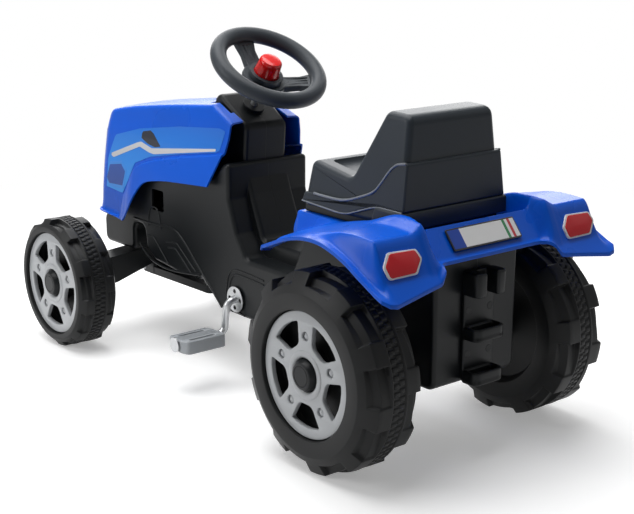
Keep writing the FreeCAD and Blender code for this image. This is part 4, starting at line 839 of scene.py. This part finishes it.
# Tow hitch: one black moulding screwed to the rear wall, with two hollow trays bored for a trailer's pin.
# A forked block stands above them, and all its edges are well rounded.
hitch_wall_back = 94
hitch_low = 112
hitch_rise = 158
hitch_half = 29
hitch_plate_out = 2.8
tray_step = 62
fork_low = 236
tray_outline = rounded([(-29, 3, 4), (29, 3, 4), (29, 30, 17), (-29, 30, 17)], 8)
tray_hollow = rounded([(-23, 8, 4), (23, 8, 4), (23, 25, 11), (-23, 25, 11)], 8)
pin_bore = round_points(0, 18, 7, 32)
fork_outline = rounded([(-29, 3, 2), (29, 3, 2), (29, 30, 13), (9.7, 30, 5), (9.7, 7, 3), (-9.7, 7, 3),
                        (-9.7, 30, 5), (-29, 30, 13)], 8)


def hitch_layer(name, loops, low, rise, edge):
    """A level layer of the hitch: flat outlines given a height, standing on the rear wall."""
    layer = plate(name, loops, rise, edge)
    move_points(layer, lambda co: spot(co.x / mm, hitch_wall_back + co.y / mm, low + rise / 2 + co.z / mm))
    return layer


hitch_back = plate("hitch_back", [rounded(box_corners(hitch_half, hitch_rise / 2, 8))], 6, 2)
move_points(hitch_back, lambda co: spot(-co.x / mm, hitch_wall_back + hitch_plate_out + co.z / mm,
                                        hitch_low + hitch_rise / 2 + co.y / mm))
hitch_layers = [hitch_back]
for low in (hitch_low, hitch_low + tray_step):
    hitch_layers.append(hitch_layer("tray_floor", [tray_outline, pin_bore], low, 9, 2.5))
    hitch_layers.append(hitch_layer("tray_wall", [tray_outline, tray_hollow], low, 18, 2.2))
hitch_layers.append(hitch_layer("hitch_fork", [fork_outline], fork_low, 34, 3.5))
dress(joined("hitch_body", hitch_layers), black_plastic, "chassis", "chassis_black", "tow_hitch")


# Seat: a hollow dark grey moulding bolted to the deck, with a dished pan and a backrest that leans in.
# Its lower part stands proud along a step, with a flange round the back and a dark plinth in the gap below.
seat_plastic = moulded("seat_grey_plastic", (0.026, 0.033, 0.041), 0.36, grain=0.3)
# The beads along the step and the hem are a lighter grey than the seat: a painted highlight for the light
# that the crease catches.
bead_highlight_paint = moulded("seat_bead_plastic", (0.17, 0.185, 0.205), 0.3, grain=0.1, shine=0.5)
seat_line = [(-164, 326, 9), (-154, 394, 12), (-66, 380, 14), (-8, 479, 14), (40, 477, 16), (45, 326, 9)]
skirt_line = [(-165, 332, 4), (-160, 347, 4), (-71, 347, 12), (-13, 368, 12), (12, 400, 12), (28, 414, 10),
              (47, 416, 5), (49, 350, 3), (-6, 351, 5), (-69, 328, 5)]
flange_line = [(-14, 325, 2), (-5, 350, 3), (50, 350, 4), (51, 326, 2)]
dish_line = [(-140, 520, 9), (-20, 520, 9), (-4, 466, 9), (-70, 372, 24), (-136, 384, 14), (-146, 430, 9)]
plinth_line = [(-164, 317.5, 1), (-164, 328, 1), (40, 328, 1), (40, 317.5, 1)]
bead_lines = {"step": (2.0, [(-138, 347.5), (-104, 346.5), (-71, 347.5), (-42, 357), (-13, 368), (0, 383),
                             (13, 400.5), (20, 407.5), (29, 413), (44, 415)]),
              "hem": (1.3, [(-163, 333.5), (-115, 331), (-69, 328.5), (-39, 339), (-6, 350.5), (20, 350),
                            (46, 350)])}
seat_foot = 326
seat_foot_half = 97
seat_draft = 0.122
dish_half = 66
dish_draft = 0.05
dish_foot = 380
skirt_proud = 3.2
bead_proud = 2.6
flange_half = 101
plinth_half = 92
edge_steps = 6


def seat_half(height):
    """Half the seat's width at a height."""
    return seat_foot_half - seat_draft * (height - seat_foot)


def even_shading(piece):
    """Smooths the rounded edges and keeps the large faces flat."""
    smooth(piece, 35)
    apply_modifier(piece, "WEIGHTED_NORMAL", keep_sharp=True)


def slab(name, line, half, edge):
    """A side outline given its width, with the edges of both sides rounded."""
    points = [Vector(point) for point in rounded(line, 8)]
    count = len(points)
    runs = [points[(i + 1) % count] - points[i - 1] for i in range(count)]
    outs = [Vector((-run.y, run.x)).normalized() for run in runs]
    rings = [math.pi / 2 * i / edge_steps for i in range(edge_steps + 1)]
    last_ring = len(rings) * 2 - 1

    def place(share_round, share_across):
        i = round(share_round * count) % count
        ring = round(share_across * last_ring)
        sign = 1 if ring > last_ring / 2 else -1
        turn = rings[ring - len(rings)] if sign > 0 else rings[len(rings) - 1 - ring]
        point = points[i] - outs[i] * edge * (1 - math.cos(turn))
        across = half(point.y) - edge * (1 - math.sin(turn))
        return spot(-across * sign, point.x, point.y)

    piece = sheet_of_faces(name, count, last_ring, place)
    open_whole(piece)
    bpy.ops.mesh.remove_doubles(threshold=0.00001)
    bpy.ops.mesh.fill_holes(sides=0)
    end_edit()
    even_shading(piece)
    return piece


seat_body = slab("seat_body", seat_line, seat_half, 9)
seat_dish = slab("seat_dish", dish_line, lambda height: dish_half - dish_draft * (height - dish_foot), 8)
apply_modifier(seat_body, "BOOLEAN", object=seat_dish, operation="DIFFERENCE", solver="MANIFOLD")
bpy.data.objects.remove(seat_dish)
seat_body.data.materials.clear()
even_shading(seat_body)
dress(seat_body, seat_plastic, "seat", "seat_grey", "seat")
skirt = slab("seat_skirt", skirt_line, lambda height: seat_half(height) + skirt_proud, skirt_proud)
dress(skirt, seat_plastic, "seat", "seat_grey")
dress(slab("seat_flange", flange_line, lambda height: flange_half, 3), seat_plastic, "seat", "seat_grey")
# The beads on both sides take the lighter grey of the painted highlight.
for side, sign in sides:
    for line, (radius, points) in bead_lines.items():
        places = [spot(sign * (seat_half(height) + bead_proud), back, height) for back, height in points]
        dress(tube(f"seat_{line}_{side}", places, radius), bead_highlight_paint, "seat", "seat_grey")
dress(slab("seat_plinth", plinth_line, lambda height: plinth_half, 1), black_plastic, "seat", "seat_grey")


# Bonnet: a blue 3 mm moulding that hinges at its nose, open below and behind, with sides that lean in.
# The lower panel stands proud along a ledge, and the rear of the top breaks down in two facets by the column.
bonnet_widths = [(200, 93), (260, 90), (311, 84.5), (362, 77.5), (389, 72.5), (414, 68.5), (437, 63)]
bonnet_low_line = [(-790, 218), (-700, 212), (-664, 214), (-636, 255), (-619, 277), (-606, 287), (-588, 293),
                   (-545, 300), (-503, 304), (-416, 311)]
ledge_line = [(-800, 200), (-676, 214), (-672, 256), (-660, 275), (-653, 294), (-643, 307), (-624, 316),
              (-581, 329), (-530, 340), (-458, 353), (-387, 365)]
top_line = [(-790, 380), (-765, 391), (-740, 398), (-706, 405), (-658, 413), (-547, 427), (-440, 438)]
tail_line = [(306, -418), (311, -415), (362, -390), (389, -383), (415, -381), (450, -381)]
nose_line = [(200, -775), (217, -774), (232, -770), (278, -769), (340, -767), (362, -766), (381, -762),
             (395, -756)]
flap_start, flap_top = top_line[-1]
flap_end = -381
flap_low = 415
low_end = -416
nose_end = -770
nose_part = 0.2
nose_bulge = 11
nose_round = 26
nose_taper = 0.3
ledge_start = 0.34
ledge_span = 0.04
wall_start = 0.38
wall_span = 0.36
corner_start = 0.74
corner_span = 0.1
roof_start = 0.84
roof_span = 0.16
ledge_step = 5
ledge_rise = 1.5
panel_flare = 0.1
roof_round = 9
roof_crown = 3
notch_half = 0.046
notch_front = -467
notch_low = 0.4


def bonnet_side(height, ledge, lower):
    """Distance of a side wall off the middle; the lower panel stands proud of the upper one."""
    proud = ledge_step + max(0, ledge - height) * panel_flare
    return straight(bonnet_widths, height) + (proud if lower else 0)


def bonnet_top(back):
    """Height of the top's edge: a gentle rise to the flap, and down along it."""
    if back > flap_start:
        return mix(flap_top, flap_low, (back - flap_start) / (flap_end - flap_start))
    return along(top_line, back)


def bonnet_point(share_along, share_round):
    """A point of the shell: along from tail to nose and across it, and round over the top."""
    off_middle = 1 - share_round * 2
    part = 1 - abs(off_middle)
    run = min(share_along / (1 - nose_part), 1)
    back = mix(flap_end, nose_end, run)
    for _ in range(4):
        top = bonnet_top(back)
        eaves = top - roof_round
        low = along(bonnet_low_line, min(back, low_end))
        ledge = min(max(straight(ledge_line, back), low + 1), top - 30)
        if part < ledge_start:
            height = mix(low, ledge, part / ledge_start)
            across = bonnet_side(height, ledge, True)
        elif part < wall_start:
            t = (part - ledge_start) / ledge_span
            height = ledge + ledge_rise * t
            across = mix(bonnet_side(ledge, ledge, True), bonnet_side(height, ledge, False), ease(0, 1, t))
        elif part < corner_start:
            height = mix(ledge + ledge_rise, eaves, (part - wall_start) / wall_span)
            across = bonnet_side(height, ledge, False)
        elif part < roof_start:
            t = (part - corner_start) / corner_span * math.pi / 2
            height = eaves + roof_round * math.sin(t)
            across = bonnet_side(eaves, ledge, False) - roof_round * (1 - math.cos(t))
        else:
            t = (part - roof_start) / roof_span
            height = top + roof_crown * math.sin(t * math.pi / 2)
            across = (bonnet_side(eaves, ledge, False) - roof_round) * (1 - t)
        nose = straight(nose_line, height)
        back = mix(straight(tail_line, height), nose, run)
    ahead = max(0, 1 - (back - nose) / nose_round)
    across *= 1 - nose_taper * (1 - math.sqrt(max(0, 1 - ahead * ahead)))
    front = max(0, (share_along - (1 - nose_part)) / nose_part)
    across *= 1 - front
    back -= nose_bulge * math.sin(front * math.pi / 2)
    return spot(across if off_middle > 0 else -across, back, height)


bonnet_shell = sheet_of_faces("bonnet_shell", 140, 120, bonnet_point)
open_whole(bonnet_shell)
close_up(0.00005)
notch_y = spot(0, notch_front, 0).y
pick_faces(bonnet_shell, lambda at: abs(at.x) < notch_half and at.y > notch_y and at.z > notch_low)
bpy.ops.mesh.delete(type="FACE")
end_edit()
apply_modifier(bonnet_shell, "SOLIDIFY", thickness=shell_wall)
smooth(bonnet_shell, 35)
dress(bonnet_shell, blue_plastic, "bonnet", "body_blue", "bonnet")


# Bonnet stickers, headlamps, grille and catch: printed film on the sides with a pale band, a silver stripe,
# a dark intake and a vent. The headlamps wrap round the corners of the nose. The film carries no lettering.
film_thickness = 0.0002


def film(name, colour, shade_to, roughness):
    """Printed film whose colour runs from one shade at its low edge to another at its top."""
    material, tree, place = new_material(name)
    height = tree.node("SeparateXYZ", {}, {0: place}, 2)
    rise = tree.node("MapRange", {}, {0: height, 1: 0.27, 2: 0.41})
    surface(tree, {"Base Color": tree.blend(rise, (*colour, 1), (*shade_to, 1)),
                   "Roughness": tree.noise(place, 60.0, 2.0) * 0.1 + roughness})
    return material


def film_sheet(name, columns, rows, place, turned):
    """A thin film from a grid of points, turned over where its faces point inwards."""
    piece = sheet_of_faces(name, columns, rows, place)
    if turned:
        open_whole(piece)
        bpy.ops.mesh.flip_normals()
        end_edit()
    apply_modifier(piece, "SOLIDIFY", thickness=film_thickness)
    return piece


def sticker(name, upper, lower, rise, sign):
    """A film on the bonnet's upper side panel between an upper and a lower line."""
    def place(share_back, share_up):
        back = mix(upper[0][0], upper[-1][0], share_back)
        height = mix(straight(lower, back), straight(upper, back), share_up)
        return spot(sign * (bonnet_side(height, height, False) + rise), back, height)

    return film_sheet(name, 80, 16, place, sign > 0)


films = {
    "band_film": (
        0.3, film("band_print", (0.0, 0.27, 0.82), (0.0, 0.13, 0.62), 0.25),
        [(-737, 311), (-730, 330), (-718, 355), (-642, 375), (-522, 393), (-409, 404), (-393, 401)],
        [(-737, 261), (-682, 257), (-664, 286), (-648, 315), (-602, 332), (-512, 349), (-411, 365),
         (-401, 370), (-393, 398)]),
    "stripe_film": (
        0.55, film("silver_print", (0.45, 0.46, 0.48), (0.7, 0.7, 0.72), 0.25),
        [(-726, 322), (-644, 351), (-633, 354), (-598, 347), (-412, 371)],
        [(-726, 318), (-719, 315), (-636, 345), (-606, 339), (-590, 338), (-412, 367)]),
    "intake_film": (
        0.6, film("intake_print", (0.004, 0.006, 0.012), (0.01, 0.015, 0.03), 0.2),
        [(-632, 368), (-629, 372), (-607, 376), (-596, 372), (-572, 354)],
        [(-632, 360), (-611, 353), (-589, 350), (-572, 353)]),
    "vent_film": (
        0.55, film("vent_border_print", (0.02, 0.24, 0.75), (0.02, 0.2, 0.7), 0.25),
        [(-738, 276), (-731, 306), (-691, 313), (-673, 299)],
        [(-738, 274), (-730, 262), (-679, 265), (-673, 297)]),
    "vent_inner_film": (
        0.75, film("vent_print", (0.0, 0.05, 0.3), (0.0, 0.07, 0.4), 0.3),
        [(-737, 278), (-729, 301), (-692, 307), (-678, 296)],
        [(-737, 276), (-728, 268), (-684, 270), (-678, 294)]),
}
for side, sign in sides:
    for name, (rise, film_print, upper, lower) in films.items():
        dress(sticker(f"{name}_{side}", upper, lower, rise, sign), film_print, "bonnet", "body_blue")


def headlamp(name, sign, along_range, round_range, rise):
    """A film that wraps the corner of the nose, just outside the shell."""
    def place(share_along, share_round):
        turn = mix(*round_range, share_round)
        point = bonnet_point(mix(*along_range, share_along), turn if sign > 0 else 1 - turn)
        away = Vector((point.x, (point.y - spot(0, -700, 0).y) * 0.8, 0)).normalized()
        return point + away * rise * mm

    return film_sheet(name, 24, 14, place, True)


lens_print = film("headlamp_print", (0.01, 0.012, 0.016), (0.03, 0.035, 0.045), 0.12)
for side, sign in sides:
    edge = headlamp(f"headlamp_edge_{side}", sign, (0.775, 0.905), (0.262, 0.345), 0.4)
    lens = headlamp(f"headlamp_lens_{side}", sign, (0.781, 0.897), (0.268, 0.339), 0.7)
    dress(edge, white_plastic, "bonnet", "plate_white")
    dress(lens, lens_print, "bonnet", "plate_white", f"headlamp_{side}")
paint(black_plastic, "front_grille")
paint(trim_plastic, "bonnet_catch")


# Steering wheel: a dark grey moulded wheel on the end of the steering rod, dished, with three ribbed spokes.
# A dark collar on its hub holds the red horn button, which is pressed along the column.
wheel_middle = Vector((0, -0.04244, 0.499))
wheel_tilt = math.radians(32.8)
rim_radius = 0.0834
rim_thickness = 0.0129
wheel_axis = Vector((0, math.sin(wheel_tilt), math.cos(wheel_tilt)))
wheel_top = Vector((0, -math.cos(wheel_tilt), math.sin(wheel_tilt)))
dish_start = 0.034
dish_slope = 0.45
spoke_line = [(26, -15, 4), (26, 15, 4), (56, 13, 9), (80, 19, 2), (80, -19, 2), (56, -13, 9)]
groove_lines = [[(40, y - 1.6, 1.5), (40, y + 1.6, 1.5), (67, y + 1.6, 1.5), (67, y - 1.6, 1.5)]
                for y in (-7, 0, 7)]
hub_line = [(-0.060, 0.0), (-0.060, 0.014), (-0.044, 0.014), (-0.042, 0.032), (-0.026, 0.0365),
            (-0.022, 0.036), (-0.0205, 0.0345), (-0.0205, 0.0)]
button_line = [(-0.0150, 0.0), (-0.0150, 0.0225), (-0.0132, 0.0225), (-0.0130, 0.0208), (0.0085, 0.0186),
               (0.0120, 0.0178), (0.0142, 0.0158), (0.0152, 0.0120), (0.0154, 0.0)]
wheel_plastic = moulded("wheel_grey_plastic", (0.040, 0.047, 0.055), 0.42, grain=0.3)
horn_plastic = moulded("horn_red_plastic", (0.72, 0.004, 0.004), 0.2, grain=0.05, coat=0.5)


def on_wheel(across, up, out):
    """A place on the steering wheel: to its left, towards its far side, and out along the column."""
    return wheel_middle + Vector((across, 0, 0)) + wheel_top * up + wheel_axis * out


def turned_on_column(name, line, steps):
    """A piece turned round the steering column."""
    piece = lathe(name, line, Vector(), steps, False)
    move_points(piece, lambda co: on_wheel(co.y, co.z, co.x))
    open_whole(piece)
    close_up()
    smooth(piece, 30)
    return piece


bpy.ops.object.select_all(action="DESELECT")
bpy.ops.mesh.primitive_torus_add(major_segments=96, minor_segments=28, major_radius=rim_radius,
                                 minor_radius=rim_thickness)
rim = bpy.context.object
move_points(rim, lambda co: on_wheel(co.x, co.y, co.z))
bpy.ops.object.shade_smooth()
wheel_pieces = [rim]
for angle in (0, math.tau / 3, -math.tau / 3):
    for layer, loops, thickness, level in (("base", [spoke_line], 9, -27.5),
                                           ("face", [spoke_line] + groove_lines, 3, -22.5)):
        spoke = plate(f"spoke_{layer}", [rounded(loop) for loop in loops], thickness, 1.0)

        def place(co):
            dish = max(0, co.x - dish_start) * dish_slope
            return on_wheel(co.x * math.sin(angle) + co.y * math.cos(angle),
                            co.x * math.cos(angle) - co.y * math.sin(angle), co.z + level * mm + dish)

        move_points(spoke, place)
        wheel_pieces.append(spoke)
wheel_pieces.append(turned_on_column("wheel_hub", hub_line, 64))
dress(joined("hand_wheel", wheel_pieces), wheel_plastic, "steering", "seat_grey", "steering_wheel")
paint(wheel_plastic, "horn_ring")
dress(turned_on_column("horn_cap", button_line, 56), horn_plastic, "horn", "lamp_red", "horn_button")


# Pedals: light grey moulded blocks that turn on the ends of the crank, with a toothed edge and two slots.
# Ridges run along the top for grip.
pedal_plastic = moulded("pedal_grey_plastic", (0.36, 0.38, 0.40), 0.36)
pedal_line = []
for i in range(9):
    pedal_line += [(i * 8 - 35.2, -26, 0.8), (i * 8 - 32, -28, 0.8)]
pedal_line += [(35, -24, 4), (39, -14, 10), (39, 14, 12), (33, 28, 8), (-36, 28, 4), (-39, 14, 3),
               (-39, -24, 3)]
pedal_loops = [rounded(pedal_line, 4)] + [rounded(box_corners(24, 3, 2.5, y)) for y in (-16, 16)]
pedal_thickness = 18
pedal_taper = 6
pedal_drop = 0.0015
ridge_level = 0.0074
ridge_slope = 0.05
for side, sign in sides:
    low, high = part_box(f"pedal_{side}")
    centre = (low + high) / 2
    block = plate(f"pedal_block_{side}", pedal_loops, pedal_thickness, 1.2)
    move_points(block, lambda co: (centre.x + sign * co.x, centre.y + co.y,
                                   centre.z - pedal_drop + co.z * (1 + co.y * pedal_taper)))
    pieces = [block]
    for y in (-24, -8, -4, 0, 4, 8, 24):
        ridge_middle = centre + Vector((0, y * mm, ridge_level + y * mm * ridge_slope))
        pieces.append(tube("pedal_ridge", [ridge_middle + Vector((x * mm, 0, 0)) for x in (-33, 0, 33)], 1.1))
    whole = joined(f"pedal_block_{side}", pieces)
    open_whole(whole)
    close_up()
    dress(whole, pedal_plastic, f"pedal_{side}", "pedal_grey", f"pedal_{side}")
